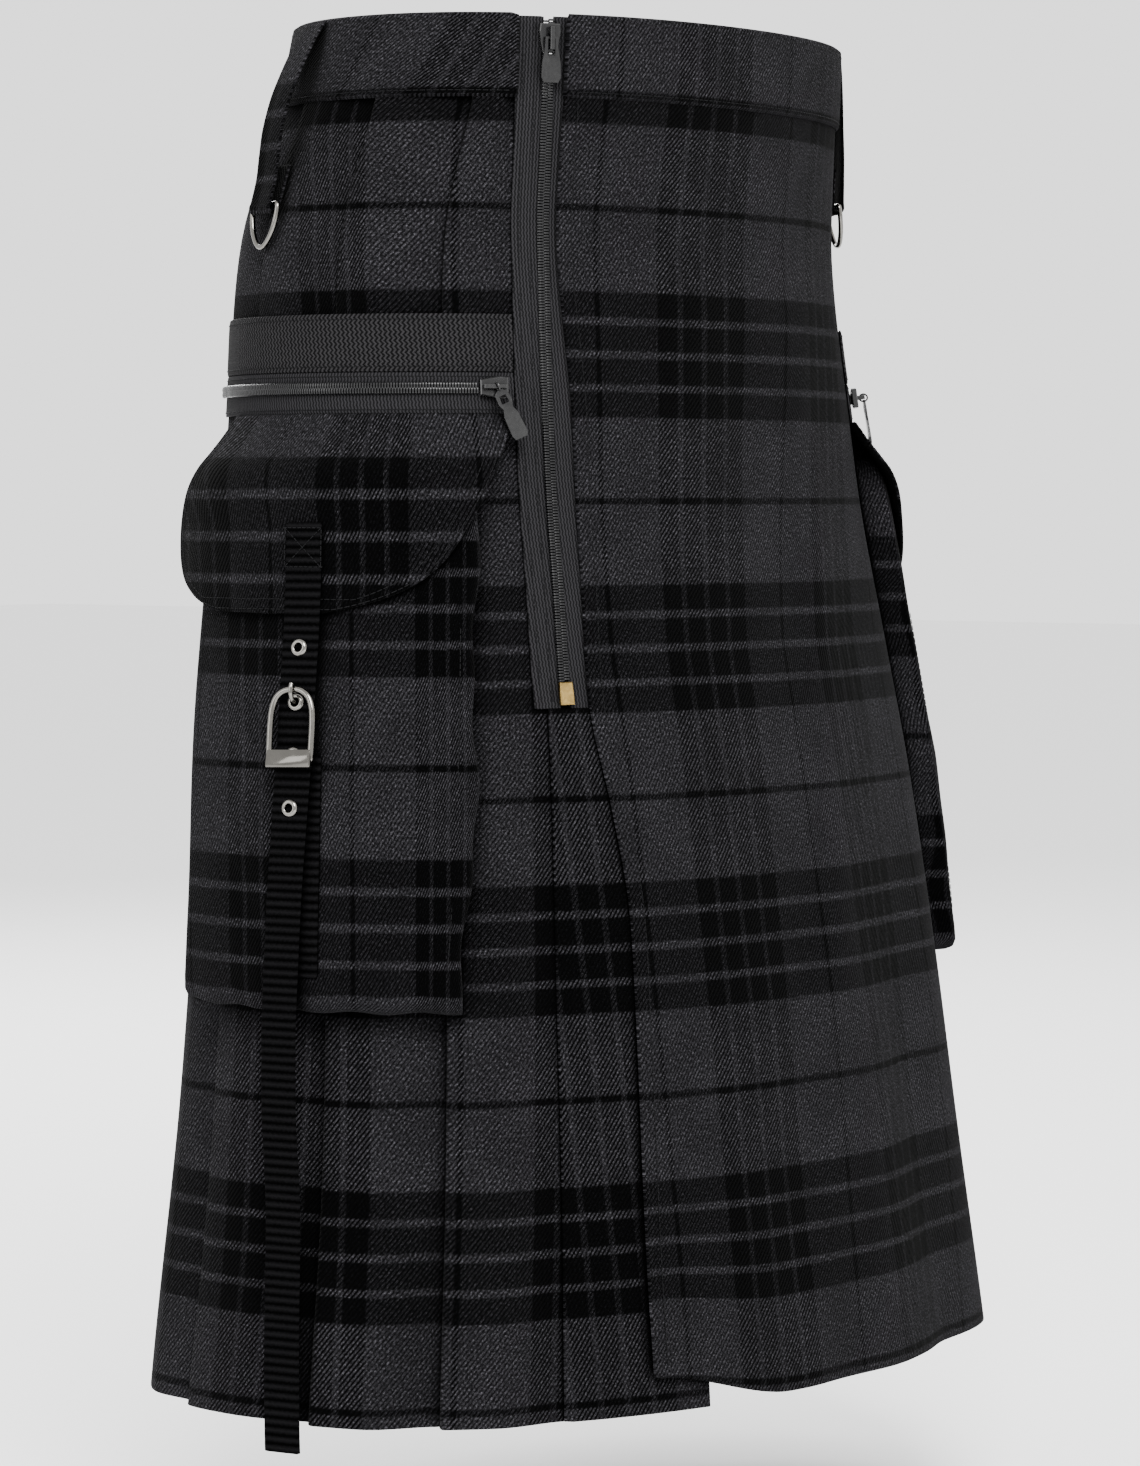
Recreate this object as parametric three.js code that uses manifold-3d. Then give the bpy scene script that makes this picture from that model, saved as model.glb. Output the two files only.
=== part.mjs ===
// Utility kilt in checked wool, as worn and empty: +Z up, the wearer faces -Y, millimetres.
// z = 0 is the middle of the waistband. The wearer's right is -X.
import * as THREE from "three";
import Module from "manifold-3d";

const wasm = await Module();
wasm.setup();
const { Manifold, Mesh: SolidMesh } = wasm;

// Driving sizes
const WAIST_TOP = 18; // top edge of the waistband
const WAIST_SEAM = -17; // lower edge of the waistband
const HEM = -592; // hem of the pleats
const CLOTH = 1.2; // thickness of one layer of the check
const GAP = 0.35; // air left between two pieces that touch
const WEBBING = 25; // width of the webbing above each pocket
const STRAP = 17; // width of the pocket straps and of the loops for the rings
const SQUARENESS = 2.1; // exponent of the body section, 2 would be an ellipse
const FOLD_FIRST = -0.178; // first pleat's fold edge, in turns round the body from the centre front
const FOLD_STEP = 0.052; // from one fold edge to the next, in turns
const PLEATS_RIGHT = 4; // fold edges on each of the three skirt pieces
const PLEATS_BACK = 4;
const PLEATS_LEFT = 5;
const POCKET_MID = -0.231; // middle of the right pocket, in turns; the left one mirrors it

// Body section: height, half width, half depth, shift towards the back
const SECTIONS = [
  [30, 150, 97.5, -4.6],
  [18, 150.8, 98.2, -4.1],
  [-20, 155, 101, 1.6],
  [-50, 160.8, 104.8, 8.5],
  [-75, 164.9, 107.5, 13],
  [-105, 168.6, 109.9, 13.8],
  [-150, 173.2, 112.9, 11.4],
  [-200, 179, 116.6, 9],
  [-261, 188.6, 122.8, 4.5],
  [-318, 197, 128.3, 0],
  [-416, 209.2, 136.2, -5.9],
  [-500, 219.2, 142.7, -9.3],
  [-592, 232.2, 151.2, -11.2],
  [-640, 237.4, 154.6, -12.5],
];

// Pleats: height, overlap of a fold over the next panel, air between its layers
const PLEAT_SIZES = [
  [-17, 10, 0.35],
  [-112, 12, 0.4],
  [-250, 14, 0.9],
  [-420, 18, 1.8],
  [-592, 21, 2.6],
];

// Front zip: height, arc from the centre front to the coil, arc to the apron's edge
const ZIP_LINE = [
  [18, -118, -109],
  [-84, -116, -109.2],
  [-151, -121, -109],
  [-221, -126, -114],
  [-286, -132, -120.5],
  [-330, -132, -117],
  [-370, -134, -114.5],
  [-413, -137, -117],
  [-541, -146, -127],
  [-592, -150, -129.5],
];

// Apron: height, how far its inner face stands off at the zip, and at its far edge
const APRON_OFF = [
  [18, 2.9, 2.2],
  [-286, 2.9, 2.2],
  [-330, 3.7, 2.4],
  [-450, 4.6, 2.6],
  [-592, 5.6, 2.8],
];

// Flap: height, edge nearest the front, edge nearest the back (turns), how far it stands off
const FLAP_OUTLINE = [
  [-157.6, -0.148, -0.298, 5.6],
  [-165, -0.151, -0.299, 9.8],
  [-173, -0.1545, -0.3, 15.4],
  [-181, -0.158, -0.303, 20.6],
  [-191, -0.1625, -0.308, 23.4],
  [-205, -0.17, -0.3125, 24],
  [-219, -0.178, -0.3115, 23.8],
  [-229, -0.187, -0.3055, 23.5],
  [-236, -0.198, -0.295, 23.4],
  [-241, -0.211, -0.283, 23.3],
  [-244, -0.224, -0.268, 23.3],
];

// Pocket bag: height, edge nearest the front, edge nearest the back (turns), its front face
const BAG_SHAPE = [
  [-163, -0.169, -0.2915, 7.8],
  [-173, -0.168, -0.292, 13],
  [-182, -0.167, -0.2922, 18.4],
  [-193, -0.1665, -0.2924, 21],
  [-215, -0.1665, -0.2924, 21.4],
  [-300, -0.169, -0.2918, 21.6],
  [-380, -0.173, -0.2914, 21.2],
  [-405, -0.175, -0.291, 20.4],
];

// Long strap of the pocket: height, middle (turns), inner face
const STRAP_RUN = [
  [-205, -0.2307, 27.2],
  [-230, -0.2305, 26.8],
  [-247, -0.2307, 26.5],
  [-262, -0.231, 26.5],
  [-278, -0.2312, 27.2],
  [-300, -0.2318, 27],
  [-330, -0.2334, 26],
  [-365, -0.2351, 25.4],
  [-400, -0.236, 25],
  [-420, -0.2364, 24.6],
  [-435, -0.2366, 23.5],
  [-460, -0.2368, 21.2],
  [-500, -0.2355, 17.2],
  [-550, -0.2348, 13.4],
  [-603.5, -0.2326, 11.6],
];

// Value of column `col` of a table at height z, along a smooth curve through its rows.
function read(table, z, col) {
  const rows = table;
  let i = 0;
  while (i < rows.length - 2 && z < rows[i + 1][0]) i += 1;
  const slope = (k) => {
    const a = rows[Math.max(0, k - 1)];
    const b = rows[Math.min(rows.length - 1, k + 1)];
    return (b[col] - a[col]) / (b[0] - a[0]);
  };
  const [p, q] = [rows[i], rows[i + 1]];
  const step = q[0] - p[0];
  const t = Math.min(1, Math.max(0, (z - p[0]) / step));
  const t2 = t * t;
  const t3 = t2 * t;
  return (
    (2 * t3 - 3 * t2 + 1) * p[col] +
    (t3 - 2 * t2 + t) * step * slope(i) +
    (3 * t2 - 2 * t3) * q[col] +
    (t3 - t2) * step * slope(i + 1)
  );
}

const smooth = (t) => {
  const c = Math.min(1, Math.max(0, t));
  return c * c * (3 - 2 * c);
};
const mix = (a, b, t) => a + (b - a) * t;

// One section of the body at height z: points and outward normals by arc length, in turns.
const SAMPLES = 480;
const sectionCache = new Map();
function section(z) {
  const key = z.toFixed(2);
  if (sectionCache.has(key)) return sectionCache.get(key);
  const [a, b, shift] = [1, 2, 3].map((col) => read(SECTIONS, z, col));
  const bend = (v) => Math.sign(v) * Math.abs(v) ** (2 / SQUARENESS);
  const pts = [];
  for (let i = 0; i <= SAMPLES; i += 1) {
    const t = -Math.PI + (2 * Math.PI * i) / SAMPLES;
    pts.push([a * bend(Math.sin(t)), shift - b * bend(Math.cos(t))]);
  }
  const len = [0];
  for (let i = 1; i <= SAMPLES; i += 1) {
    len.push(len[i - 1] + Math.hypot(pts[i][0] - pts[i - 1][0], pts[i][1] - pts[i - 1][1]));
  }
  const round = len[SAMPLES];
  const normals = pts.map((_, i) => {
    const p = pts[(i + SAMPLES - 2) % SAMPLES];
    const q = pts[(i + 2) % SAMPLES];
    const d = Math.hypot(q[0] - p[0], q[1] - p[1]);
    return [(q[1] - p[1]) / d, -(q[0] - p[0]) / d];
  });
  const made = { pts, normals, len, round };
  sectionCache.set(key, made);
  return made;
}

// Length round the cloth at height z.
const roundLength = (z) => section(z).round + 2 * Math.PI * 4;

// Point `turn` round the body from the centre front, `out` mm off the body section.
function at(turn, z, out) {
  const { pts, normals, len, round } = section(z);
  const want = (turn - Math.floor(turn + 0.5) + 0.5) * round;
  let lo = 0;
  let hi = SAMPLES;
  while (hi - lo > 1) {
    const mid = (lo + hi) >> 1;
    if (len[mid] <= want) lo = mid;
    else hi = mid;
  }
  const t = (want - len[lo]) / (len[hi] - len[lo]);
  const n = [mix(normals[lo][0], normals[hi][0], t), mix(normals[lo][1], normals[hi][1], t)];
  const l = Math.hypot(...n);
  return [
    mix(pts[lo][0], pts[hi][0], t) + (out * n[0]) / l,
    mix(pts[lo][1], pts[hi][1], t) + (out * n[1]) / l,
    z,
  ];
}

// Frames on the body have x back along the cloth (towards the wearer's right at the front),
// y outward and z up. The level one stands upright, the other leans with the cloth.
function levelFrame(turn, z, out) {
  const p = at(turn, z, out);
  const q = at(turn, z, out + 10);
  const y = new THREE.Vector3(q[0] - p[0], q[1] - p[1], 0).normalize();
  const up = new THREE.Vector3(0, 0, 1);
  return new THREE.Matrix4().makeBasis(y.clone().cross(up), y, up).setPosition(...p);
}

// `run` gives [turn, height, stand-off] at a height; the frame's z follows it.
function frameOn(run, z, rise = 0) {
  const [turn, , out] = run(z);
  const above = new THREE.Vector3(...at(...run(z + 8)));
  const below = new THREE.Vector3(...at(...run(z - 8)));
  const up = above.sub(below).normalize();
  const level = levelFrame(turn, z, out);
  const x = new THREE.Vector3();
  const y = new THREE.Vector3();
  level.extractBasis(x, y, new THREE.Vector3());
  x.copy(y).cross(up).normalize();
  y.copy(up).cross(x);
  const p = new THREE.Vector3(...at(turn, z, out)).addScaledVector(y, rise);
  return new THREE.Matrix4().makeBasis(x, y, up).setPosition(p);
}

const turnsOf = (mm, z) => mm / roundLength(z);
const zipTurn = (z) => turnsOf(read(ZIP_LINE, z, 1), z);
const apronEdge = (z) => turnsOf(read(ZIP_LINE, z, 2), z);

// A closed mesh from points and triangles, faces turned outward.
function closed(points, triangles) {
  let six = 0;
  for (const [a, b, c] of triangles) {
    const [p, q, r] = [points[a], points[b], points[c]];
    six +=
      p[0] * (q[1] * r[2] - q[2] * r[1]) +
      p[1] * (q[2] * r[0] - q[0] * r[2]) +
      p[2] * (q[0] * r[1] - q[1] * r[0]);
  }
  const faces = six < 0 ? triangles.map(([a, b, c]) => [a, c, b]) : triangles;
  const g = new THREE.BufferGeometry();
  g.setAttribute("position", new THREE.Float32BufferAttribute(points.flat(), 3));
  g.setIndex(faces.flat());
  return g;
}

// Cloth with thickness: two grids of the same shape, joined round their rims.
function cloth(outer, inner) {
  const rows = outer.length;
  const cols = outer[0].length;
  const points = [...outer.flat(), ...inner.flat()];
  const o = (i, j) => i * cols + j;
  const n = (i, j) => rows * cols + i * cols + j;
  const tri = [];
  const quad = (a, b, c, d) => tri.push([a, b, c], [a, c, d]);
  for (let i = 0; i < rows - 1; i += 1) {
    for (let j = 0; j < cols - 1; j += 1) {
      quad(o(i, j), o(i + 1, j), o(i + 1, j + 1), o(i, j + 1));
      quad(n(i, j), n(i, j + 1), n(i + 1, j + 1), n(i + 1, j));
    }
    quad(o(i, 0), n(i, 0), n(i + 1, 0), o(i + 1, 0));
    quad(o(i, cols - 1), o(i + 1, cols - 1), n(i + 1, cols - 1), n(i, cols - 1));
  }
  for (let j = 0; j < cols - 1; j += 1) {
    quad(o(0, j), o(0, j + 1), n(0, j + 1), n(0, j));
    quad(o(rows - 1, j), n(rows - 1, j), n(rows - 1, j + 1), o(rows - 1, j + 1));
  }
  return closed(points, tri);
}

// Folded cloth: each row has an outer and an inner line of points at one height.
// The ends of every row are closed, and the first and last rows are filled.
function foldedCloth(rows) {
  const no = rows[0].outer.length;
  const ni = rows[0].inner.length;
  const points = rows.flatMap((r) => [...r.outer, ...r.inner]);
  const o = (i, j) => i * (no + ni) + j;
  const n = (i, j) => i * (no + ni) + no + j;
  const tri = [];
  const quad = (a, b, c, d) => tri.push([a, b, c], [a, c, d]);
  for (let i = 0; i < rows.length - 1; i += 1) {
    for (let j = 0; j < no - 1; j += 1) quad(o(i, j), o(i + 1, j), o(i + 1, j + 1), o(i, j + 1));
    for (let j = 0; j < ni - 1; j += 1) quad(n(i, j), n(i, j + 1), n(i + 1, j + 1), n(i + 1, j));
    quad(o(i, 0), n(i, 0), n(i + 1, 0), o(i + 1, 0));
    quad(o(i, no - 1), o(i + 1, no - 1), n(i + 1, ni - 1), n(i, ni - 1));
  }
  for (const i of [0, rows.length - 1]) {
    const flat = [...rows[i].outer, ...[...rows[i].inner].reverse()];
    const index = [
      ...rows[i].outer.map((_, j) => o(i, j)),
      ...rows[i].inner.map((_, j) => n(i, ni - 1 - j)),
    ];
    const outline = flat.map(([x, y]) => new THREE.Vector2(x, y));
    const turnedBack = THREE.ShapeUtils.isClockWise(outline);
    for (const [a, b, c] of THREE.ShapeUtils.triangulateShape(outline, [])) {
      const face = [index[a], index[b], index[c]];
      tri.push((i === 0) === turnedBack ? [face[0], face[2], face[1]] : face);
    }
  }
  return closed(points, tri);
}

// A closed or open tube of radius r along points.
function tube(path, r, sides, isClosed) {
  const curve = path.map((p) => new THREE.Vector3(...p));
  const count = curve.length;
  const dirs = curve.map((_, i) => {
    const a = isClosed ? curve[(i + count - 1) % count] : curve[Math.max(0, i - 1)];
    const b = isClosed ? curve[(i + 1) % count] : curve[Math.min(count - 1, i + 1)];
    return new THREE.Vector3().subVectors(b, a).normalize();
  });
  let side = new THREE.Vector3(0.31, 0.22, 0.93).cross(dirs[0]).normalize();
  const points = [];
  curve.forEach((p, i) => {
    side = side.clone().addScaledVector(dirs[i], -side.dot(dirs[i])).normalize();
    const other = new THREE.Vector3().crossVectors(dirs[i], side);
    for (let k = 0; k < sides; k += 1) {
      const t = (2 * Math.PI * k) / sides;
      points.push(
        p.clone().addScaledVector(side, r * Math.cos(t)).addScaledVector(other, r * Math.sin(t)).toArray(),
      );
    }
  });
  const tri = [];
  const last = isClosed ? count : count - 1;
  for (let i = 0; i < last; i += 1) {
    for (let k = 0; k < sides; k += 1) {
      const a = i * sides + k;
      const b = i * sides + ((k + 1) % sides);
      const c = ((i + 1) % count) * sides + ((k + 1) % sides);
      const d = ((i + 1) % count) * sides + k;
      tri.push([a, b, c], [a, c, d]);
    }
  }
  if (!isClosed) {
    for (let k = 1; k < sides - 1; k += 1) {
      tri.push([0, k + 1, k]);
      const e = (count - 1) * sides;
      tri.push([e, e + k, e + k + 1]);
    }
  }
  return closed(points, tri);
}

// A flat outline in a frame's x and z, from y0 to y1 off its origin, with holes and a small chamfer.
function plate(outline, y0, y1, holes = [], edge = 0) {
  const shape = new THREE.Shape(outline.map(([x, y]) => new THREE.Vector2(x, y)));
  for (const h of holes) shape.holes.push(new THREE.Path(h.map(([x, y]) => new THREE.Vector2(x, y))));
  const g = new THREE.ExtrudeGeometry(shape, {
    depth: y1 - y0 - 2 * edge,
    bevelEnabled: edge > 0,
    bevelThickness: edge,
    bevelSize: edge,
    bevelOffset: -edge,
    bevelSegments: 1,
    curveSegments: 8,
  });
  g.translate(0, 0, -(y1 - edge));
  g.rotateX(Math.PI / 2);
  return g;
}

const ellipse = (cx, cy, rx, ry, count = 20) =>
  Array.from({ length: count }, (_, i) => {
    const t = (2 * Math.PI * i) / count;
    return [cx + rx * Math.cos(t), cy + ry * Math.sin(t)];
  });

function toSolid(geometry) {
  const g = geometry.index ? geometry.toNonIndexed() : geometry;
  const p = g.getAttribute("position").array;
  const keys = new Map();
  const verts = [];
  const tris = [];
  for (let i = 0; i < p.length; i += 3) {
    const key = [p[i], p[i + 1], p[i + 2]].map((v) => v.toFixed(3)).join();
    if (!keys.has(key)) {
      keys.set(key, verts.length / 3);
      verts.push(p[i], p[i + 1], p[i + 2]);
    }
    tris.push(keys.get(key));
  }
  const solid = new Manifold(
    new SolidMesh({
      numProp: 3,
      vertProperties: new Float32Array(verts),
      triVerts: new Uint32Array(tris),
    }),
  );
  return solid;
}

function fromSolid(solid) {
  const m = solid.getMesh();
  const g = new THREE.BufferGeometry();
  const pos = new Float32Array(m.numVert * 3);
  for (let i = 0; i < m.numVert; i += 1) {
    pos.set(m.vertProperties.subarray(i * m.numProp, i * m.numProp + 3), i * 3);
  }
  g.setAttribute("position", new THREE.BufferAttribute(pos, 3));
  g.setIndex(Array.from(m.triVerts));
  return g;
}

const joined = (...parts) => fromSolid(parts.map(toSolid).reduce((a, b) => a.add(b)));

// The kilt, and the finishes of its pieces
const kilt = new THREE.Group();
kilt.name = "utility_kilt";
const COLOURS = {
  check: { color: 0x2b2b2f, roughness: 0.95, metalness: 0 },
  webbing: { color: 0x17171a, roughness: 0.8, metalness: 0 },
  tape: { color: 0x26262a, roughness: 0.9, metalness: 0 },
  coil: { color: 0x101013, roughness: 0.45, metalness: 0 },
  black: { color: 0x0b0b0d, roughness: 0.3, metalness: 0.4 },
  nickel: { color: 0xb9b7b0, roughness: 0.25, metalness: 1 },
  brass: { color: 0xa77b35, roughness: 0.35, metalness: 1 },
};

function add(name, geometry, kind) {
  const mesh = new THREE.Mesh(geometry, new THREE.MeshStandardMaterial(COLOURS[kind]));
  mesh.name = name;
  kilt.add(mesh);
  return mesh;
}

// The mirrored copy of a geometry, for the wearer's left side.
function mirrored(geometry) {
  const g = geometry.index ? geometry.toNonIndexed() : geometry.clone();
  const p = g.getAttribute("position");
  for (let i = 0; i < p.count; i += 3) {
    for (let k = 0; k < 3; k += 1) p.setX(i + k, -p.getX(i + k));
    const hold = [p.getX(i + 1), p.getY(i + 1), p.getZ(i + 1)];
    p.setXYZ(i + 1, p.getX(i + 2), p.getY(i + 2), p.getZ(i + 2));
    p.setXYZ(i + 2, ...hold);
  }
  g.deleteAttribute("normal");
  g.deleteAttribute("uv");
  return g;
}

function addBothSides(name, geometry, kind) {
  add(`${name}_right`, geometry, kind);
  add(`${name}_left`, mirrored(geometry), kind);
}

// Heights of a pleat's layers off the body section at height z: [underside, top] of each.
function layers(z) {
  const air = read(PLEAT_SIZES, z, 2);
  return {
    next: [0, CLOTH],
    turned: [CLOTH + air, 2 * CLOTH + air],
    face: [2 * CLOTH + 2 * air, 3 * CLOTH + 2 * air],
  };
}
const foldTop = (z) => layers(z).face[1];

// Where pieces that lie on the skirt start: over the folds, and down on the panel by the front zip.
function cover(turn, z) {
  const flat = -panelStart(z);
  const t = smooth((Math.abs(turn) - flat) / turnsOf(13, z));
  return mix(CLOTH, foldTop(z), t) + GAP;
}

// Where the first panel comes out from under the zip's tape, and lower down from under the underlay.
const underlayEdge = (z) => -0.1345 - 0.002 * smooth((-286 - z) / 150);
const panelStart = (z) => mix(zipTurn(z) - turnsOf(16, z), underlayEdge(z), smooth((-290 - z) / 50));

const SKIRT_ROWS = [WAIST_SEAM - 0.4, -62, -112, -158, -205, -260, -325, -395, -465, -530, HEM];

// One skirt piece: knife pleats whose folds point to the back, `first` to `last`.
// Each panel rises from under the fold before it to its own fold, turns under and comes back.
function pleats(first, last, start, end) {
  const rows = SKIRT_ROWS.map((z) => {
    const l = layers(z);
    const long = roundLength(z);
    const overlap = read(PLEAT_SIZES, z, 1);
    const depth = overlap - CLOTH;
    const fold = (k) => -(FOLD_FIRST - FOLD_STEP * k) * long;
    const outerFlat = [];
    const innerFlat = [];
    const x0 = start === undefined ? fold(first - 1) - overlap * 0.5 : -start(z) * long;
    outerFlat.push([x0, l.next[1]]);
    innerFlat.push([x0, 0]);
    for (let k = first; k <= last; k += 1) {
      const from = k === 0 ? -panelStart(z) * long : fold(k - 1) + 0.8;
      const to = fold(k);
      const up = to - overlap - 1.2;
      const rise = (t) => mix(l.next[1], l.face[1], smooth(t));
      outerFlat.push([from, l.next[1]]);
      innerFlat.push([from, 0]);
      for (const t of [0.4, 0.75]) {
        outerFlat.push([mix(from, up, t), rise(t)]);
        innerFlat.push([mix(from, up, t), rise(t) - CLOTH]);
      }
      outerFlat.push([up, l.face[1]], [to - 0.5, l.face[1]]);
      outerFlat.push([to, l.face[0]], [to, l.turned[1]], [to - 0.5, l.turned[0]]);
      outerFlat.push([to - depth, l.turned[0]], [to - depth, l.next[1]]);
      innerFlat.push([up, l.face[0]], [to - CLOTH, l.face[0]], [to - CLOTH, l.turned[1]]);
      innerFlat.push([to - overlap, l.turned[1]], [to - overlap, 0]);
    }
    const x1 = end === undefined ? fold(last) - overlap * 0.5 - 0.3 : -end(z) * long;
    outerFlat.push([x1, l.next[1]]);
    innerFlat.push([x1, 0]);
    const place = ([x, h]) => at(-x / long, z, h);
    return { outer: outerFlat.map(place), inner: innerFlat.map(place) };
  });
  return foldedCloth(rows);
}

const lastBack = PLEATS_RIGHT + PLEATS_BACK - 1;
const lastLeft = lastBack + PLEATS_LEFT;
add("skirt_right", pleats(0, PLEATS_RIGHT - 1, (z) => panelStart(z) + turnsOf(26, z)), "check");
add("skirt_back", pleats(PLEATS_RIGHT, lastBack), "check");
add("skirt_left", pleats(lastBack + 1, lastLeft, undefined, () => -0.852), "check");

// A sheet that follows the body: rows of heights, columns between two edges, its inner face `off`.
function panel(heights, columns, left, right, off, thick) {
  const grid = (extra) =>
    heights.map((z) =>
      Array.from({ length: columns + 1 }, (_, j) => {
        const turn = mix(left(z), right(z), j / columns);
        return at(turn, z, off(turn, z) + extra);
      }),
    );
  return cloth(grid(thick), grid(0));
}

// Apron: from the front zip across the front, over the last panel on the wearer's left.
const APRON_END = 0.165;
const APRON_CORNER = 14; // how far the apron's corner lifts above its hem
const apronOff = (turn, z) => {
  const t = (turn - apronEdge(z)) / (APRON_END - apronEdge(z));
  return mix(read(APRON_OFF, z, 1), read(APRON_OFF, z, 2), smooth(t));
};
const apronRows = [WAIST_SEAM - 0.4, -60, -110, -160, -215, -270, -300, -350, -410, -470, -530, -570, HEM + 2];
function apronGrid(extra) {
  return apronRows.map((z) =>
    Array.from({ length: 31 }, (_, j) => {
      const turn = mix(apronEdge(z), APRON_END, j / 30);
      const lift = APRON_CORNER * (1 - smooth(j / 7)) * smooth((-480 - z) / 112);
      return at(turn, z + lift, apronOff(turn, z) + extra);
    }),
  );
}
add("apron", cloth(apronGrid(1.5), apronGrid(0)), "check");

// Panel under the apron's edge, seen below the front zip.
const underlayOff = (turn, z) => mix(1.6, 2.4, smooth((-286 - z) / 306));
add(
  "front_underlay",
  panel([-286.6, -340, -400, -470, -540, HEM], 8, underlayEdge, () => -0.078, underlayOff, CLOTH),
  "check",
);

// Waistband: the front length on the apron, the back length from the wearer's left to the zip.
const BAND_IN = 2.9;
const BAND_THICK = 2.4;
const bandRows = [WAIST_TOP, 0, WAIST_SEAM];
const bandOff = () => BAND_IN;
add("waistband_front", panel(bandRows, 30, apronEdge, () => 0.16, bandOff, BAND_THICK), "check");
const tapeEdge = (z) => zipTurn(z) - turnsOf(14.5, z);
add(
  "waistband_back",
  panel(bandRows, 50, () => 0.1604, (z) => 1 + tapeEdge(z) - turnsOf(0.4, z), bandOff, BAND_THICK),
  "check",
);

// Front zip: a tape each side of the coil, lying on the cloth.
const zipRows = [WAIST_TOP - 0.5, -17, -60, -110, -160, -200, -240, -286];
const TAPE_OFF = CLOTH + GAP;
const tapeIn = () => TAPE_OFF;
add(
  "front_zip_tape_outer",
  panel(zipRows, 3, tapeEdge, (z) => zipTurn(z) - turnsOf(2.4, z), tapeIn, 1),
  "tape",
);
add(
  "front_zip_tape_inner",
  panel(zipRows, 3, (z) => zipTurn(z) + turnsOf(2.4, z), (z) => zipTurn(z) + turnsOf(17, z), tapeIn, 1),
  "tape",
);
const coilRows = [1.5, -17, -60, -110, -160, -200, -240, -274];
const coilGrid = (z, out) =>
  [-2, -1.1, 1.1, 2].map((x) => at(zipTurn(z) + turnsOf(x, z), z, out - (Math.abs(x) > 1.5 ? 0.8 : 0)));
add(
  "front_zip_coil",
  cloth(
    coilRows.map((z) => coilGrid(z, TAPE_OFF + 2.4)),
    coilRows.map((z) => [-2, -1.1, 1.1, 2].map((x) => at(zipTurn(z) + turnsOf(x, z), z, TAPE_OFF))),
  ),
  "coil",
);

// Puts a geometry made in a frame's own x, y (outward) and z onto the body, turned by `tilt`.
function placed(geometry, run, z, rise = 0, tilt = 0) {
  const g = geometry.clone();
  if (tilt) g.rotateY(tilt);
  return g.applyMatrix4(frameOn(run, z, rise));
}

// Slider body: a shield-shaped plate with the bridge that holds the pull.
const SLIDER_OUTLINE = [
  [-4.6, 6.5], [4.6, 6.5], [5, 3], [4.2, -2], [3.4, -6], [-3.4, -6], [-4.2, -2], [-5, 3],
];
const BRIDGE = 5.7; // middle of the slider's bridge above its back
const slider = joined(
  plate(SLIDER_OUTLINE, 0, 2.6, [], 0.4),
  plate([[-1, 5], [1, 5], [1, 2.2], [-1, 2.2]], 2.2, 5.4),
  plate([[-1, -3.2], [1, -3.2], [1, -5], [-1, -5]], 2.2, 5.4),
  plate([[-1, 5], [1, 5], [1, -5], [-1, -5]], BRIDGE - 0.5, BRIDGE + 0.5, [], 0.2),
);
const FRONT_SLIDER_Z = 8;
const zipRun = (z) => [zipTurn(z), z, TAPE_OFF];
add("front_zip_slider", placed(slider, zipRun, FRONT_SLIDER_Z, 1.4), "black");

// Pull tab of the front zip: its eye goes round the slider's bridge, the tab hangs below.
const FRONT_PIN = FRONT_SLIDER_Z - 1;
const frontPull = plate(
  [
    [-2.8, 1.6], [2.8, 1.6], [3.1, -3.4], [4.3, -10], [4.5, -16], [3.4, -18.4],
    [-3.4, -18.4], [-4.5, -16], [-4.3, -10], [-3.1, -3.4],
  ],
  -0.6, 0.6,
  [[[-1.7, 0.6], [-1.7, -6.5], [1.7, -6.5], [1.7, 0.6]]],
);
add("front_zip_pull", placed(frontPull, zipRun, FRONT_PIN, 1.4 + 3.9), "black");

// Brass box at the bottom of the front zip.
add(
  "front_zip_stop",
  placed(
    plate([[-3, 5], [3, 5], [3.3, 0], [3.3, -5], [-3.3, -5], [-3.3, 0]], 0, 2.8, [], 0.5),
    (z) => [zipTurn(z), z, TAPE_OFF + 1],
    -280, GAP,
  ),
  "brass",
);

// What lies above each pocket is made once for each side: on the wearer's left it lies on the apron.
const apronTop = (turn, z) => apronOff(turn, z) + 1.5 + GAP;
const coverLeft = (turn, z) => Math.max(cover(turn, z), apronTop(-turn, z) + 0.05);
const POCKET_ZIP_Z = -146;
const POCKET_SLIDER = -0.156;
const fromTape = (z) => tapeEdge(z) - turnsOf(1, z);

// The pull hangs from the slider's bridge: a ring, a keyhole link, then a tab.
const PULL_LEAN = 0.42;
const pullRing = tube(
  Array.from({ length: 12 }, (_, i) => {
    const t = (Math.PI * i) / 6;
    return [0, 2 * Math.cos(t), -0.3 + 2 * Math.sin(t)];
  }),
  0.45, 6, true,
);
const link = plate(
  [[-1.2, -2], [1.2, -2], [3.1, -4], [3.3, -8], [2.2, -11], [-2.2, -11], [-3.3, -8], [-3.1, -4]],
  -0.6, 0.6,
  [[[-1.5, -4.7], [-1.8, -8.4], [1.8, -8.4], [1.5, -4.7]]],
);
const tab = plate(
  [[-2.2, -10.6], [2.2, -10.6], [3.4, -14], [3.7, -23], [2.8, -25], [-2.8, -25], [-3.7, -23], [-3.4, -14]],
  -0.6, 0.6,
);
const pocketPull = joined(pullRing, link, tab);

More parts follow.
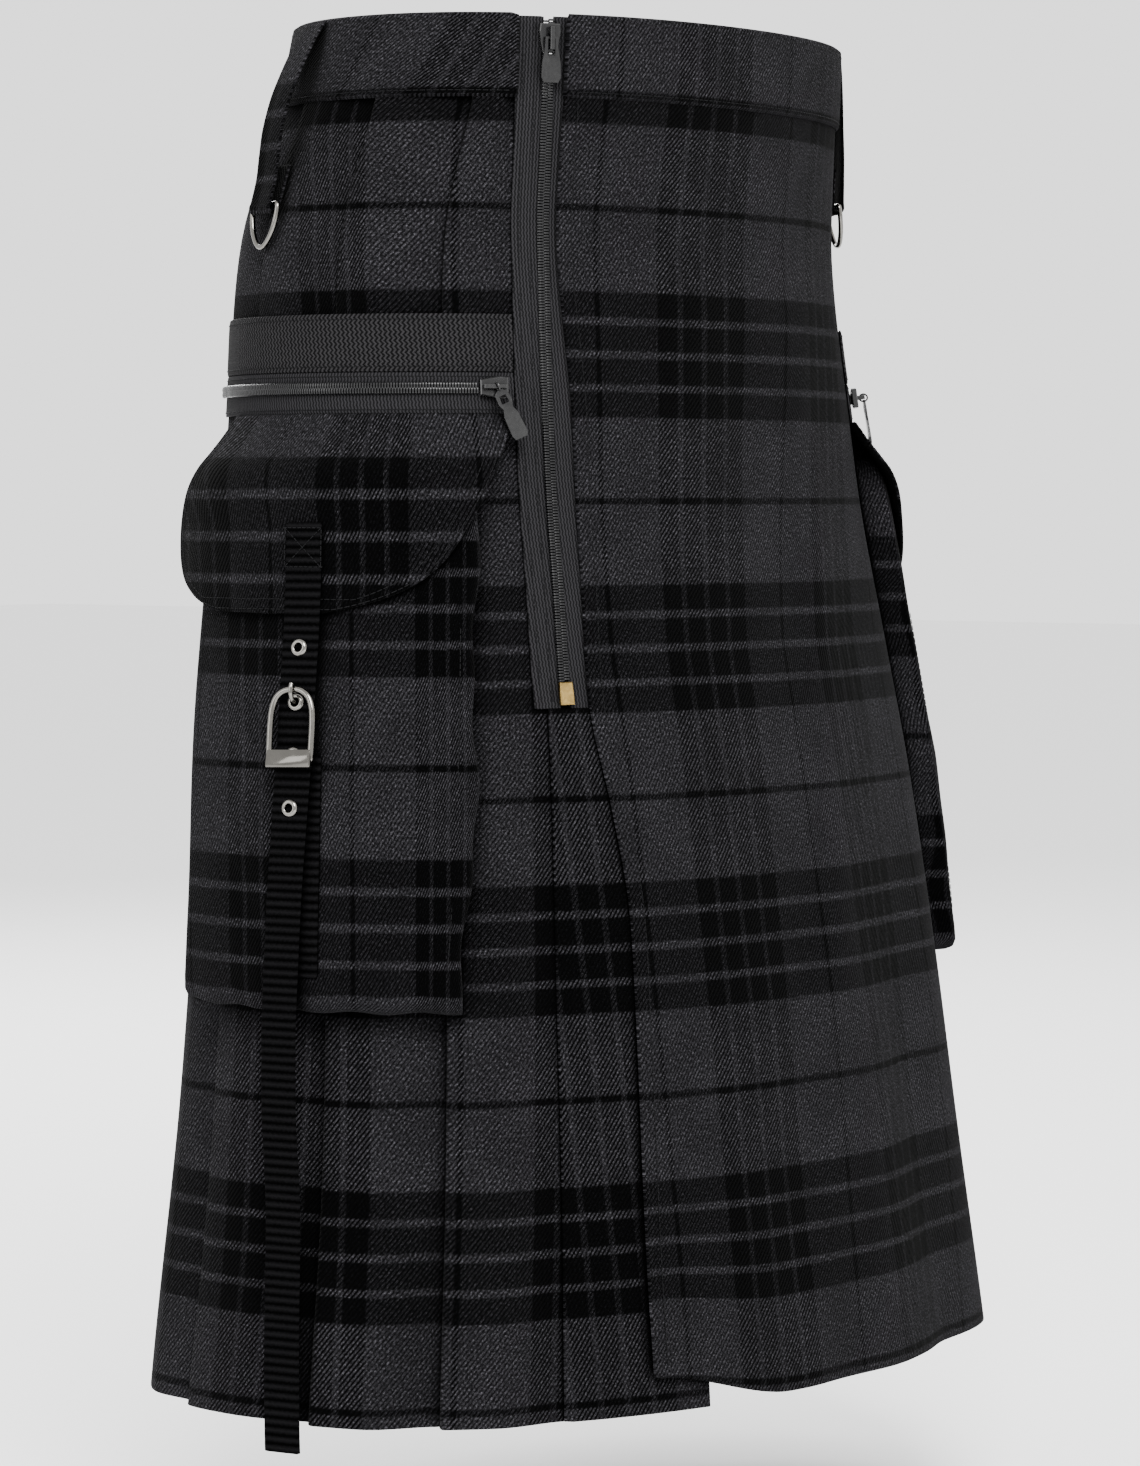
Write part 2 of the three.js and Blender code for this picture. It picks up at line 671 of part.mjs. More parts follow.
for (const [side, over] of [["right", cover], ["left", coverLeft]]) {
  const make = (name, geometry, kind) =>
    add(`${name}_${side}`, side === "left" ? mirrored(geometry) : geometry, kind);
  // webbing sewn across above the pocket
  make("webbing", panel([-113.5, -113.5 - WEBBING], 34, fromTape, () => -0.365, over, CLOTH), "webbing");
  // pocket zip: tape, coil, slider at its front end and a hanging pull
  make("pocket_zip_tape", panel([-139.2, -157], 26, fromTape, () => -0.338, over, 1), "tape");
  const coilLine = (levels) =>
    levels.map(([dz, rise]) =>
      Array.from({ length: 23 }, (_, j) => {
        const turn = mix(-0.163, -0.334, j / 22);
        return at(turn, POCKET_ZIP_Z + dz, over(turn, POCKET_ZIP_Z + dz) + 1 + GAP + rise);
      }),
    );
  make(
    "pocket_zip_coil",
    cloth(
      coilLine([[2, 0.7], [1, 1.6], [-1, 1.6], [-2, 0.7]]),
      coilLine([[2, 0], [1, 0], [-1, 0], [-2, 0]]),
    ),
    "coil",
  );
  const sliderRun = (z) => [POCKET_SLIDER, z, over(POCKET_SLIDER, z) + 1 + GAP];
  const pinRun = (z) => [POCKET_SLIDER + 0.0008, z, over(POCKET_SLIDER, z) + 1 + GAP];
  make("pocket_zip_slider", placed(slider, sliderRun, POCKET_ZIP_Z, 0.6, -Math.PI / 2), "black");
  make("pocket_zip_pull", placed(pocketPull, pinRun, POCKET_ZIP_Z, 0.6 + BRIDGE, PULL_LEAN), "black");
}

// Pocket bag: front, side and bottom gussets in one, open at the top under the flap.
// Its path runs from the skirt out along the front side, across, and back in.
function bagGrid(inside) {
  const t = inside ? CLOTH : 0;
  const rows = BAG_SHAPE.map(([z]) => [z, 1, 0]);
  rows.push([-411, 0.96, 1], [-414.5, 0.8, 1], [-415.8, 0.45, 1], [-416, 0.06, 1]);
  return rows.map(([z, full, under]) => {
    const zr = Math.max(z, -405);
    const right = read(BAG_SHAPE, zr, 1);
    const left = read(BAG_SHAPE, zr, 2);
    const face = read(BAG_SHAPE, zr, 3);
    const low = cover(-0.23, zr) + 0.1;
    const zz = inside && under ? z + CLOTH * (full < 0.9 ? 1 : 0.7) : z;
    const side = turnsOf(t, zr);
    const path = [[right, 0.02], [right, 0.45], [right - 0.0005, 0.82], [right - 0.004, 0.985]];
    for (let k = 1; k < 9; k += 1) {
      path.push([mix(right, left, k / 9), 1 + 0.05 * Math.sin((Math.PI * k) / 9)]);
    }
    path.push([left + 0.004, 0.985], [left + 0.0005, 0.82], [left, 0.45], [left, 0.02]);
    return path.map(([turn, f], i) => {
      const inTurn = i < 3 ? turn - side : i > path.length - 4 ? turn + side : turn;
      const height = low + (face - low) * f * full;
      const sink = i > 2 && i < path.length - 3 ? t * Math.min(1, full * 1.1) : 0;
      return at(inTurn, zz, Math.max(low, height - sink));
    });
  });
}
addBothSides("pocket_bag", cloth(bagGrid(false), bagGrid(true)), "check");

// Flap: from the pocket zip out over the bag, its lower corners round.
function flapGrid(extra) {
  return FLAP_OUTLINE.map(([z, right, left, off]) =>
    Array.from({ length: 13 }, (_, j) => {
      const turn = mix(right, left, j / 12);
      const bulge = Math.sin((Math.PI * j) / 12);
      return at(turn, z, off + bulge * smooth((-157 - z) / 25) + extra);
    }),
  );
}
addBothSides("pocket_flap", cloth(flapGrid(1.5), flapGrid(0)), "check");

// Long strap: sewn on the flap, through the buckle, its tail hanging past the hem.
function strapGrid(extra) {
  const rows = [];
  for (let i = 0; i < STRAP_RUN.length - 1; i += 1) {
    rows.push(STRAP_RUN[i][0]);
    if (i < 7) rows.push(mix(STRAP_RUN[i][0], STRAP_RUN[i + 1][0], 0.5));
  }
  rows.push(STRAP_RUN[STRAP_RUN.length - 1][0]);
  return rows.map((z) => {
    const f = levelFrame(read(STRAP_RUN, z, 1), z, read(STRAP_RUN, z, 2) + extra);
    return [-0.5, 0, 0.5].map((x) => new THREE.Vector3(x * STRAP, 0, 0).applyMatrix4(f).toArray());
  });
}
const EYELETS = [-259, -282.5, -305.5, -328];
const strapPoint = (z) => [read(STRAP_RUN, z, 1), z, read(STRAP_RUN, z, 2)];
const holes = EYELETS.map((z) => placed(plate(ellipse(0, 0, 1.9, 1.9, 12), -6, 6), strapPoint, z));
let strap = toSolid(cloth(strapGrid(1.3), strapGrid(0)));
for (const h of holes) strap = strap.subtract(toSolid(h));
addBothSides("strap_tail", fromSolid(strap), "webbing");
EYELETS.forEach((z, i) => {
  const ring = new THREE.LatheGeometry(
    [[2, 0], [3.8, 0], [3.8, 0.5], [2.8, 0.9], [2, 0]].map(([r, h]) => new THREE.Vector2(r, h)),
    10,
  );
  addBothSides(`eyelet_${i + 1}`, placed(ring, strapPoint, z, 1.3 + GAP), "nickel");
});

// Short strap under the tail: sewn on the bag's front, it holds the buckle.
const BASE_MID = -0.2308;
const bagFront = (turn, z) => {
  const [right, left] = [read(BAG_SHAPE, z, 1), read(BAG_SHAPE, z, 2)];
  const low = cover(-0.23, z) + 0.1;
  const f = 1 + 0.05 * Math.sin(Math.PI * Math.min(1, Math.max(0, (turn - right) / (left - right))));
  return low + (read(BAG_SHAPE, z, 3) - low) * f;
};
const baseGrid = (extra) =>
  [-306, -320, -340, -360, -380, -400].map((z) =>
    [-0.5, -0.17, 0.17, 0.5].map((x) => {
      const turn = BASE_MID + turnsOf(x * STRAP * 0.86, z);
      return at(turn, z, bagFront(turn, z) + GAP + extra);
    }),
  );
addBothSides("strap_base", cloth(baseGrid(1.2), baseGrid(0)), "webbing");

// Buckle: a bent wire frame on the strap, its foot a flat bar, and a prong down into an eyelet.
const BUCKLE_Z = -293.5;
const WIRE = 1.4;
const buckleHalf = [[0, 16.4], [4.4, 15.7], [8, 12.9], [9.9, 7.8], [10.4, 1], [10.4, -6], [10.2, -12.6], [9.2, -14.4]];
const buckleFrame = [
  ...buckleHalf, [0, -14.6], ...buckleHalf.slice(1).reverse().map(([x, z]) => [-x, z]),
].map(([x, z]) => [x, 0, z]);
const prong = [[0, 1.6, 18.8], [0, 2, 16.6], [0, 1.7, 14.2], [0, 0.2, 12], [0, -2.4, 11]];
const buckle = joined(
  tube(buckleFrame, WIRE, 8, true),
  plate([[10.6, -9.8], [-10.6, -9.8], [-11.2, -17.6], [11.2, -17.6]], -0.4, 1.9, [], 0.4),
  tube(prong, 1, 8, false),
);
addBothSides("buckle", placed(buckle, strapPoint, BUCKLE_Z, 1.3 + GAP + WIRE + 1.1), "nickel");

// A strap along a path of (height, stand-off), `width` wide and centred on `turn`.
function ribbon(path, turn, width, thick) {
  const side = (sign) =>
    path.map(([z, out], i) => {
      const [p, q] = [path[Math.max(0, i - 1)], path[Math.min(path.length - 1, i + 1)]];
      const d = Math.hypot(q[0] - p[0], q[1] - p[1]);
      const nz = ((q[1] - p[1]) / d) * sign * thick * 0.5;
      const no = (-(q[0] - p[0]) / d) * sign * thick * 0.5;
      const f = levelFrame(turn, z, out + no);
      return [-0.5, -0.2, 0.2, 0.5].map((x) =>
        new THREE.Vector3(x * width, 0, nz).applyMatrix4(f).toArray(),
      );
    });
  return cloth(side(1), side(-1));
}

// D-rings: a straight bar in the loop's fold, the bow hanging below on the cloth.
const RING_OUT = 8.2;
const RING_LEAN = 0.13; // the bow leans outward with the cloth
const ringHalf = [[10.2, 0], [11, -1.4], [10.7, -6], [9, -11.4], [6.1, -15.8], [2.9, -18.4]];
const ringPath = [
  [0, 0], ...ringHalf, [0, -19.1], ...[...ringHalf].reverse().map(([x, z]) => [-x, z]),
].map(([x, z]) => [x, -z * RING_LEAN, z]);
const ring = tube(ringPath, 1.2, 8, true);

// Cloth loops for the rings: from the top of the waistband out and down, round the ring's bar.
// The last points of each path are the same curl, set from the height of the bar.
const CURL = [
  [1.8, 10.6], [-1.4, 10.8], [-3.4, 9.4], [-3.6, 7.4], [-2.2, 5.9], [1.4, 5.6], [9, 5.7], [17, 5.9],
];
const RINGS = [
  ["right", -0.282, -63, [[17, 6.4], [9, 10], [-3, 14], [-16, 16.8], [-29, 16.6], [-41, 13.8], [-51, 11.4]]],
  ["left", 0.183, -52, [[17, 6.4], [8, 7.4], [-4, 8.4], [-16, 9.2], [-28, 10], [-40, 10.4]]],
];
for (const [side, turn, ringZ, hang] of RINGS) {
  const path = [...hang, ...CURL.map(([dz, out]) => [ringZ + dz, out])];
  add(`ring_loop_${side}`, ribbon(path, turn, STRAP, 1.4), "check");
  add(`d_ring_${side}`, ring.clone().applyMatrix4(levelFrame(turn, ringZ, RING_OUT)), "nickel");
}

export default kilt;
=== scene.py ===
"""A knee-length utility kilt in grey and black checked wool, worn by nobody, on a plain floor."""
import math

import bpy
import numpy as np
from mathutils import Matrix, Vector


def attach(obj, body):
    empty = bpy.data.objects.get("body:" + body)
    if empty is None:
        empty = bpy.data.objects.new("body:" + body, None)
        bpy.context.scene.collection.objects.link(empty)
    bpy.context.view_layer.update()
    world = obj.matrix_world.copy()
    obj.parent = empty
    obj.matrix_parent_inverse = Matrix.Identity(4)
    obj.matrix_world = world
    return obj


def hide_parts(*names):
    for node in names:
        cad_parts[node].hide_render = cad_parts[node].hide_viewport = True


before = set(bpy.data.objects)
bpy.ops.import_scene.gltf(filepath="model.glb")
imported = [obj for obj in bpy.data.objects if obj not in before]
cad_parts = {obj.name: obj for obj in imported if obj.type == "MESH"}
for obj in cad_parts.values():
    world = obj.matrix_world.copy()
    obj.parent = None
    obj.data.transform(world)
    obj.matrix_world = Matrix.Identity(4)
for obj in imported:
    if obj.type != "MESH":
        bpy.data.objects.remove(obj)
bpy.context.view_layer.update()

# The kilt is seen from the wearer's right front by a camera 2.2 m away, a little above its
# middle. It hangs as if worn, over a pale floor, in soft light from all round with a large
# lamp above the camera, weaker ones on both of its sides and one behind.
camera = bpy.data.objects.new("camera", bpy.data.cameras.new("camera"))
bpy.context.scene.collection.objects.link(camera)
camera.location = (-1.7336, -1.3545, -0.195)
camera.data.lens = 114.5
camera.data.sensor_width = 36
camera.data.dof.use_dof = False
camera.rotation_mode = "QUATERNION"
camera.rotation_quaternion = (Vector((0.0009, -0.0011, -0.3049)) - camera.location).to_track_quat("-Z", "Y")
bpy.context.scene.camera = camera


def softbox(name, place, target, size, watts):
    """A square lamp at `place`, facing `target`, `size` metres wide."""
    lamp = bpy.data.objects.new(name, bpy.data.lights.new(name, "AREA"))
    lamp.data.size = size
    lamp.data.energy = watts
    lamp.location = place
    lamp.rotation_mode = "QUATERNION"
    lamp.rotation_quaternion = (Vector(target) - Vector(place)).to_track_quat("-Z", "Y")
    bpy.context.scene.collection.objects.link(lamp)


softbox("lamp_key", (-1.35, -1.35, 1.25), (0, 0, -0.2), 1.1, 140)
softbox("lamp_fill", (1.6, -1.7, 0.3), (0, 0, -0.3), 1.6, 9)
softbox("lamp_side", (-2.4, 1.0, 0.5), (0, 0, -0.3), 1.2, 22)
softbox("lamp_back", (1.4, 2.1, 1.3), (0, 0, -0.3), 1.4, 90)
world = bpy.data.worlds.new("studio")
world.use_nodes = True
world.node_tree.nodes["Background"].inputs["Color"].default_value = (1, 1, 1, 1)
world.node_tree.nodes["Background"].inputs["Strength"].default_value = 1.9
bpy.context.scene.world = world

FLOOR_HEIGHT = -0.68
HALF_FLOOR = 14
floor = bpy.data.objects.new("floor", bpy.data.meshes.new("floor"))
floor.data.from_pydata(
    [(-HALF_FLOOR, -HALF_FLOOR, FLOOR_HEIGHT), (HALF_FLOOR, -HALF_FLOOR, FLOOR_HEIGHT),
     (HALF_FLOOR, HALF_FLOOR, FLOOR_HEIGHT), (-HALF_FLOOR, HALF_FLOOR, FLOOR_HEIGHT)], [], [(0, 1, 2, 3)])
pale = bpy.data.materials.new("pale_floor")
pale.use_nodes = True
pale.node_tree.nodes["Principled BSDF"].inputs["Base Color"].default_value = (0.9, 0.9, 0.9, 1)
pale.node_tree.nodes["Principled BSDF"].inputs["Roughness"].default_value = 0.9
floor.data.materials.append(pale)
bpy.context.scene.collection.objects.link(floor)

# The body the cloth hangs on is not part of the kilt. Its level sections are ovals a little
# squarer than an ellipse, in millimetres: height, half width, half depth, shift to the back.
SECTIONS = np.array([
    [30, 150, 97.5, -4.6], [18, 150.8, 98.2, -4.1], [-20, 155, 101, 1.6], [-50, 160.8, 104.8, 8.5],
    [-75, 164.9, 107.5, 13], [-105, 168.6, 109.9, 13.8], [-150, 173.2, 112.9, 11.4],
    [-200, 179, 116.6, 9], [-261, 188.6, 122.8, 4.5], [-318, 197, 128.3, 0],
    [-416, 209.2, 136.2, -5.9], [-500, 219.2, 142.7, -9.3], [-592, 232.2, 151.2, -11.2],
    [-640, 237.4, 154.6, -12.5]])
SQUARENESS = 2.1
ROW_STEP = 4.0
TOP_ROW = 60.0
ROWS = np.arange(TOP_ROW, -680, -ROW_STEP)
TURN_SAMPLES = 960


def along(table, z, column):
    """A table's column at height z, on a smooth curve (cubic Hermite) through its rows."""
    table = np.asarray(table, float)
    height, value = table[:, 0], table[:, column]
    last = len(height) - 1
    after, before = np.minimum(np.arange(last + 1) + 1, last), np.maximum(np.arange(last + 1) - 1, 0)
    slope = (value[after] - value[before]) / (height[after] - height[before])
    i = np.clip(np.searchsorted(-height, -np.asarray(z, float), side="right") - 1, 0, last - 1)
    step = height[i + 1] - height[i]
    t = np.clip((z - height[i]) / step, 0, 1)
    return ((2 * t**3 - 3 * t**2 + 1) * value[i] + (t**3 - 2 * t**2 + t) * step * slope[i]
            + (3 * t**2 - 2 * t**3) * value[i + 1] + (t**3 - t**2) * step * slope[i + 1])


def smooth(t):
    """0 to 1 as t goes from 0 to 1, level at both ends."""
    t = np.clip(t, 0, 1)
    return t * t * (3 - 2 * t)


def mix(a, b, t):
    """a at t = 0, b at t = 1."""
    return a + (b - a) * t


def unit(vectors):
    """The same directions, one long."""
    return vectors / np.linalg.norm(vectors, axis=-1, keepdims=True)


def body_samples():
    """Points and outward normals of every section at equal steps of arc length, and its length."""
    t = np.linspace(-math.pi, math.pi, 2401)[None, :]
    half_width, half_depth, shift = (along(SECTIONS, ROWS, c)[:, None] for c in (1, 2, 3))

    def bend(v):
        return np.sign(v) * np.abs(v) ** (2 / SQUARENESS)
    x, y = half_width * bend(np.sin(t)), shift - half_depth * bend(np.cos(t))
    length = np.concatenate(
        [np.zeros((len(ROWS), 1)), np.cumsum(np.hypot(np.diff(x), np.diff(y)), axis=1)], axis=1)
    even = np.linspace(0, 1, TURN_SAMPLES + 1)
    xy = np.array([[np.interp(even * l[-1], l, v) for v in (a, b)] for l, a, b in zip(length, x, y)])
    ring = np.concatenate([xy[:, :, -4:-1], xy, xy[:, :, 1:4]], axis=2)
    tangent = ring[:, :, 6:] - ring[:, :, :-6]
    tangent /= np.linalg.norm(tangent, axis=1, keepdims=True)
    return np.stack([xy[:, 0], xy[:, 1], tangent[:, 1], -tangent[:, 0]], -1), length[:, -1]


body_lattice, body_round = body_samples()


def round_length(z):
    """Length round the cloth at height z, 4 mm off the section."""
    return np.interp(-np.asarray(z, float), -ROWS, body_round) + 2 * math.pi * 4


# Soft waves of the worn cloth: turn and height of the top, turn and height of the bottom,
# half width in mm, how far it stands out in mm. All layers of cloth follow them.
WAVES = [
    (0.035, -150, 0.022, -600, 26, 2.6), (0.075, -210, 0.073, -600, 20, -2.2),
    (0.112, -120, 0.118, -600, 24, 3.2), (-0.045, -330, -0.052, -600, 30, 1.8),
    (-0.02, -40, 0.02, -260, 22, -1.2), (0.08, -30, 0.05, -190, 16, 1.4),
    (0.15, -250, 0.155, -600, 18, -2.0), (-0.20, -430, -0.205, -600, 16, 1.8),
    (-0.252, -440, -0.262, -600, 15, -1.8), (-0.305, -360, -0.31, -600, 18, 2.2),
    (-0.352, -300, -0.347, -600, 15, -2.0), (-0.41, -250, -0.405, -600, 20, 2.6),
    (-0.455, -330, -0.468, -600, 17, -2.2), (0.485, -240, 0.478, -600, 21, 2.8),
    (0.43, -360, 0.437, -600, 17, -1.9), (0.382, -210, 0.37, -600, 22, 2.4),
    (0.328, -320, 0.335, -600, 16, -2.4), (0.275, -420, 0.28, -600, 19, 2.2),
    (0.215, -440, 0.222, -600, 15, -1.8), (0.18, -330, 0.188, -600, 17, 2.0),
]


def wave(turn, z):
    """Sum of the soft waves: each is a bell across its line, and grows from its top down."""
    total = np.zeros(np.broadcast(turn, z).shape)
    long = round_length(z)
    for turn_0, z_0, turn_1, z_1, half, rise in WAVES:
        t = (z_0 - z) / (z_0 - z_1)
        middle = mix(turn_0, turn_1, t) + 0.004 * np.sin(2.2 * math.pi * t)
        away = np.remainder(turn - middle + 0.5, 1) - 0.5
        total += rise * smooth(t * 1.6) * np.exp(-((away * long / half) ** 2))
    return total


def at(turn, z, out, flat=False):
    """Points `out` mm off the section at height z, `turn` round it from the centre front:
    bilinear between the samples, then moved along the section's normal. `flat` has no waves."""
    turn, z, out = (np.asarray(v, float) for v in np.broadcast_arrays(turn, z, out))
    if not flat:
        out = out + wave(turn, z)
    column = (turn - np.floor(turn + 0.5) + 0.5) * TURN_SAMPLES
    row = (TOP_ROW - z) / ROW_STEP
    c, r = np.clip(column.astype(int), 0, TURN_SAMPLES - 1), np.clip(row.astype(int), 0, len(ROWS) - 2)
    fc, fr = (column - c)[..., None], (row - r)[..., None]
    near = mix(mix(body_lattice[r, c], body_lattice[r, c + 1], fc),
               mix(body_lattice[r + 1, c], body_lattice[r + 1, c + 1], fc), fr)
    return np.concatenate([near[..., :2] + out[..., None] * unit(near[..., 2:]), z[..., None]], -1)


# The cloth is a twill wool, about 330 g/m2: mid grey with black bands both ways, repeating
# every 130 mm. Each band is four blocks with three fine grey lines, then a lone black line.
# The attribute "weave" holds the place on the cloth in mm: across the warp, then down it.
REPEAT = 130.0
STRIPES = [(-1.5, 1.5), (37, 48.5), (51.8, 63.3), (66.7, 78.2), (81.5, 93)]
STRIPE_EDGE = 0.35
REPEAT_START = 10
TWILL_PITCH = 2.35
GREY = (0.0061, 0.0059, 0.0066, 1)
BLACK = (0.0003, 0.0003, 0.00034, 1)


def node(tree, kind, links=(), **values):
    """A node of that kind with settings, and inputs linked from (input, output) pairs."""
    made = tree.nodes.new("ShaderNode" + kind)
    for name, value in values.items():
        setattr(made, name, value)
    for where, what in links:
        if isinstance(what, bpy.types.NodeSocket):
            tree.links.new(what, made.inputs[where])
        else:
            made.inputs[where].default_value = what
    return made


def ramp(tree, factor, stops, smooth_steps=False):
    """A colour ramp through (position, grey or colour) stops."""
    made = node(tree, "ValToRGB", [("Fac", factor)])
    made.color_ramp.interpolation = "EASE" if smooth_steps else "LINEAR"
    points = made.color_ramp.elements
    while len(points) > 1:
        points.remove(points[-1])
    for i, (position, value) in enumerate(stops):
        point = points[0] if i == 0 else points.new(position)
        point.position = position
        point.color = value if isinstance(value, tuple) else (value, value, value, 1)
    return made.outputs["Color"]


def maths(tree, how, a, b=0.0, c=0.0):
    """One step of arithmetic."""
    return node(tree, "Math", [(0, a), (1, b), (2, c)], operation=how).outputs[0]


def noise(tree, place, scale, *sockets):
    """Fine unevenness over a place vector: its scale, then detail and roughness."""
    return node(tree, "TexNoise", [("Vector", place), ("Scale", scale),
                                   *zip(("Detail", "Roughness"), sockets)])


def blend(tree, share, a, b, how="MIX"):
    """Two colours mixed by a share, or multiplied."""
    mixed = node(tree, "Mix", [("Factor", share), (6, a), (7, b)], data_type="RGBA", blend_type=how)
    return mixed.outputs[2]


def principled(name, roughness, **sockets):
    """A material with its own shader sockets set, and nothing linked yet."""
    made = bpy.data.materials.new(name)
    made.use_nodes = True
    shader = made.node_tree.nodes["Principled BSDF"]
    shader.inputs["Roughness"].default_value = roughness
    for socket, value in sockets.items():
        shader.inputs[socket.replace("_", " ")].default_value = value
    return made, made.node_tree, shader


def checked_wool():
    """Warp and weft each follow the stripes; the twill shows one of them along diagonal lines
    that rise to the right; grey and black fibres are mixed in, and the ridges are in relief.
    Painted shade darkens the twill's grooves and painted light brightens its ridges, and
    painted shade darkens the cloth in creases and under the folds."""
    made, tree, shader = principled(
        "checked_wool", 0.92, Sheen_Weight=0.008, Sheen_Roughness=0.5, Specular_IOR_Level=0.01)
    place = node(tree, "Attribute", attribute_name="weave")
    split = node(tree, "SeparateXYZ", [(0, place.outputs["Vector"])])
    wobble = noise(tree, place.outputs["Vector"], 0.35, 2.0)
    shifts = node(tree, "SeparateXYZ", [(0, wobble.outputs["Color"])])
    yarns = []
    for axis in (0, 1):
        moved = maths(tree, "MULTIPLY_ADD", shifts.outputs[axis], 1.0, split.outputs[axis])
        turned = maths(tree, "FRACT", maths(tree, "MULTIPLY_ADD", moved, 1 / REPEAT, REPEAT_START / REPEAT))
        stops = [(0.0, 1.0)]
        for low, high in STRIPES:
            for edge, before, after in ((low, 1.0, 0.0), (high, 0.0, 1.0)):
                stops += [((edge + REPEAT_START - STRIPE_EDGE) / REPEAT, before),
                          ((edge + REPEAT_START + STRIPE_EDGE) / REPEAT, after)]
        yarns.append(ramp(tree, turned, stops))
    diagonal = maths(tree, "MULTIPLY_ADD", split.outputs[1], 0.86, split.outputs[0])
    fine = noise(tree, place.outputs["Vector"], 1.1, 3.0)
    diagonal = maths(tree, "MULTIPLY_ADD", fine.outputs["Fac"], 0.9, diagonal)
    line = maths(tree, "PINGPONG", maths(tree, "DIVIDE", diagonal, TWILL_PITCH), 0.5)
    over = ramp(tree, maths(tree, "MULTIPLY", line, 2.0), [(0.28, 0.0), (0.62, 1.0)])
    shade = blend(tree, blend(tree, over, *yarns), BLACK, GREY)
    fibre = noise(tree, place.outputs["Vector"], 0.85, 6.0, 0.82)
    melange = ramp(tree, fibre.outputs["Fac"], [(0.33, 0.08), (0.46, 0.5), (0.55, 1.6), (0.66, 6.4)])
    # Painted shade in the twill's grooves and painted light on its ridges; the same ramp is also the
    # relief's height below.
    twill_relief_and_shade = ramp(tree, maths(tree, "MULTIPLY", line, 2.0), [(0.0, 0.12), (0.38, 0.95), (0.9, 1.6)])
    patch = noise(tree, place.outputs["Vector"], 0.03, 3.0)
    cloudy = ramp(tree, patch.outputs["Fac"], [(0.3, 0.82), (0.7, 1.2)])
    # Painted shade: the colour is darkened where ambient occlusion finds creases, fold edges and gaps
    # between layers.
    crevice = node(tree, "AmbientOcclusion", [("Distance", 0.016)], samples=8)
    painted_crevice_shade = ramp(tree, crevice.outputs["AO"], [(0.38, 0.01), (0.86, 1.0)])
    for layer in (melange, twill_relief_and_shade, cloudy, painted_crevice_shade):
        shade = blend(tree, 1.0, shade, layer, "MULTIPLY")
    tree.links.new(shade, shader.inputs["Base Color"])
    height = maths(tree, "MULTIPLY_ADD", fibre.outputs["Fac"], 0.5, twill_relief_and_shade)
    bump = node(tree, "Bump", [("Height", height), ("Strength", 0.55), ("Distance", 0.0004)])
    tree.links.new(bump.outputs["Normal"], shader.inputs["Normal"])
    return made


wool = checked_wool()


def make_piece(name, points, faces, material, slot, weave=None, crease=38, body="kilt", replaces=()):
    """A mesh object from points in mm and faces, smooth but for edges sharper than `crease`
    degrees, riding on a body and standing for CAD nodes."""
    mesh = bpy.data.meshes.new(name)
    groups = faces if isinstance(faces, list) else [faces]
    mesh.from_pydata((np.asarray(points) * 0.001).tolist(), [], sum((g.tolist() for g in groups), []))
    if weave is not None:
        held = mesh.attributes.new("weave", "FLOAT_VECTOR", "POINT")
        held.data.foreach_set("vector", np.asarray(weave, np.float32).ravel())
    mesh.shade_smooth()
    mesh.set_sharp_from_angle(angle=math.radians(crease))
    mesh.materials.append(material)
    piece = bpy.data.objects.new(name, mesh)
    bpy.context.scene.collection.objects.link(piece)
    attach(piece, body)
    if replaces:
        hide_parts(*replaces)
    return piece


def shell(outer, inner, weave):
    """A sheet with thickness from two grids of points: both sides, and a rounded rim between
    them whose middle stands out by half the thickness. Returns points, faces and weave."""
    rows, columns = outer.shape[:2]
    index = np.arange(rows * columns).reshape(rows, columns)
    quads = np.stack([index[:-1, :-1], index[1:, :-1], index[1:, 1:], index[:-1, 1:]], -1).reshape(-1, 4)
    edge = np.concatenate([index[0, :-1], index[:-1, -1], index[-1, :0:-1], index[:0:-1, 0]])
    inside = np.concatenate([index[1, :-1], index[:-1, -2], index[-2, :0:-1], index[:0:-1, 1]])
    flat_out, flat_in = outer.reshape(-1, 3), inner.reshape(-1, 3)
    away = flat_out[edge] - flat_out[inside]
    away /= np.linalg.norm(away, axis=1, keepdims=True) + 1e-9
    thick = np.linalg.norm(flat_out[edge] - flat_in[edge], axis=1, keepdims=True)
    rim = (flat_out[edge] + flat_in[edge]) / 2 + away * thick * 0.4
    count = rows * columns
    ring = np.arange(len(edge)) + 2 * count
    nxt = np.roll(np.arange(len(edge)), -1)
    faces = np.concatenate([
        quads, quads[:, ::-1] + count,
        np.stack([edge, edge[nxt], ring[nxt], ring], -1),
        np.stack([ring, ring[nxt], edge[nxt] + count, edge + count], -1)])
    flat_weave = weave.reshape(-1, 3)
    points = np.concatenate([flat_out, flat_in, rim])
    a, b, c = (points[quads[:, k]] for k in (0, 1, 2))
    outwards = np.einsum("ij,ij->i", np.cross(b - a, c - a), a - points[count + quads[:, 0]]).sum()
    if outwards < 0:
        faces = faces[:, ::-1]
    return points, faces, np.concatenate([flat_weave, flat_weave, flat_weave[edge]])


def weave_of(across, down):
    """The weave attribute from the two places on the cloth."""
    across, down = np.broadcast_arrays(across, down)
    return np.stack([across, down, np.zeros(across.shape)], -1)


# Knife pleats: three lengths of the check, 13 folds in all, all turned to the back. They are
# pressed flat, stitched down inside the waistband and left free below. Each fold lies over
# the next panel and the cloth doubles back under it.
CLOTH = 1.2
HEM = -592.0
WAIST_SEAM = -17.0
WARP_SCALE = 1.12
FIRST_LINE = -66.0
FOLD_FIRST, FOLD_STEP = -0.178, 0.052
PLEAT_SIZES = [[-17, 10, 0.35], [-112, 12, 0.4], [-250, 14, 0.9], [-420, 18, 1.8], [-592, 21, 2.6]]
ZIP_LINE = [[18, -118, -109], [-84, -116, -109.2], [-151, -121, -109], [-221, -126, -114],
            [-286, -132, -120.5], [-330, -132, -117], [-370, -134, -114.5], [-413, -137, -117],
            [-541, -146, -127], [-592, -150, -129.5]]
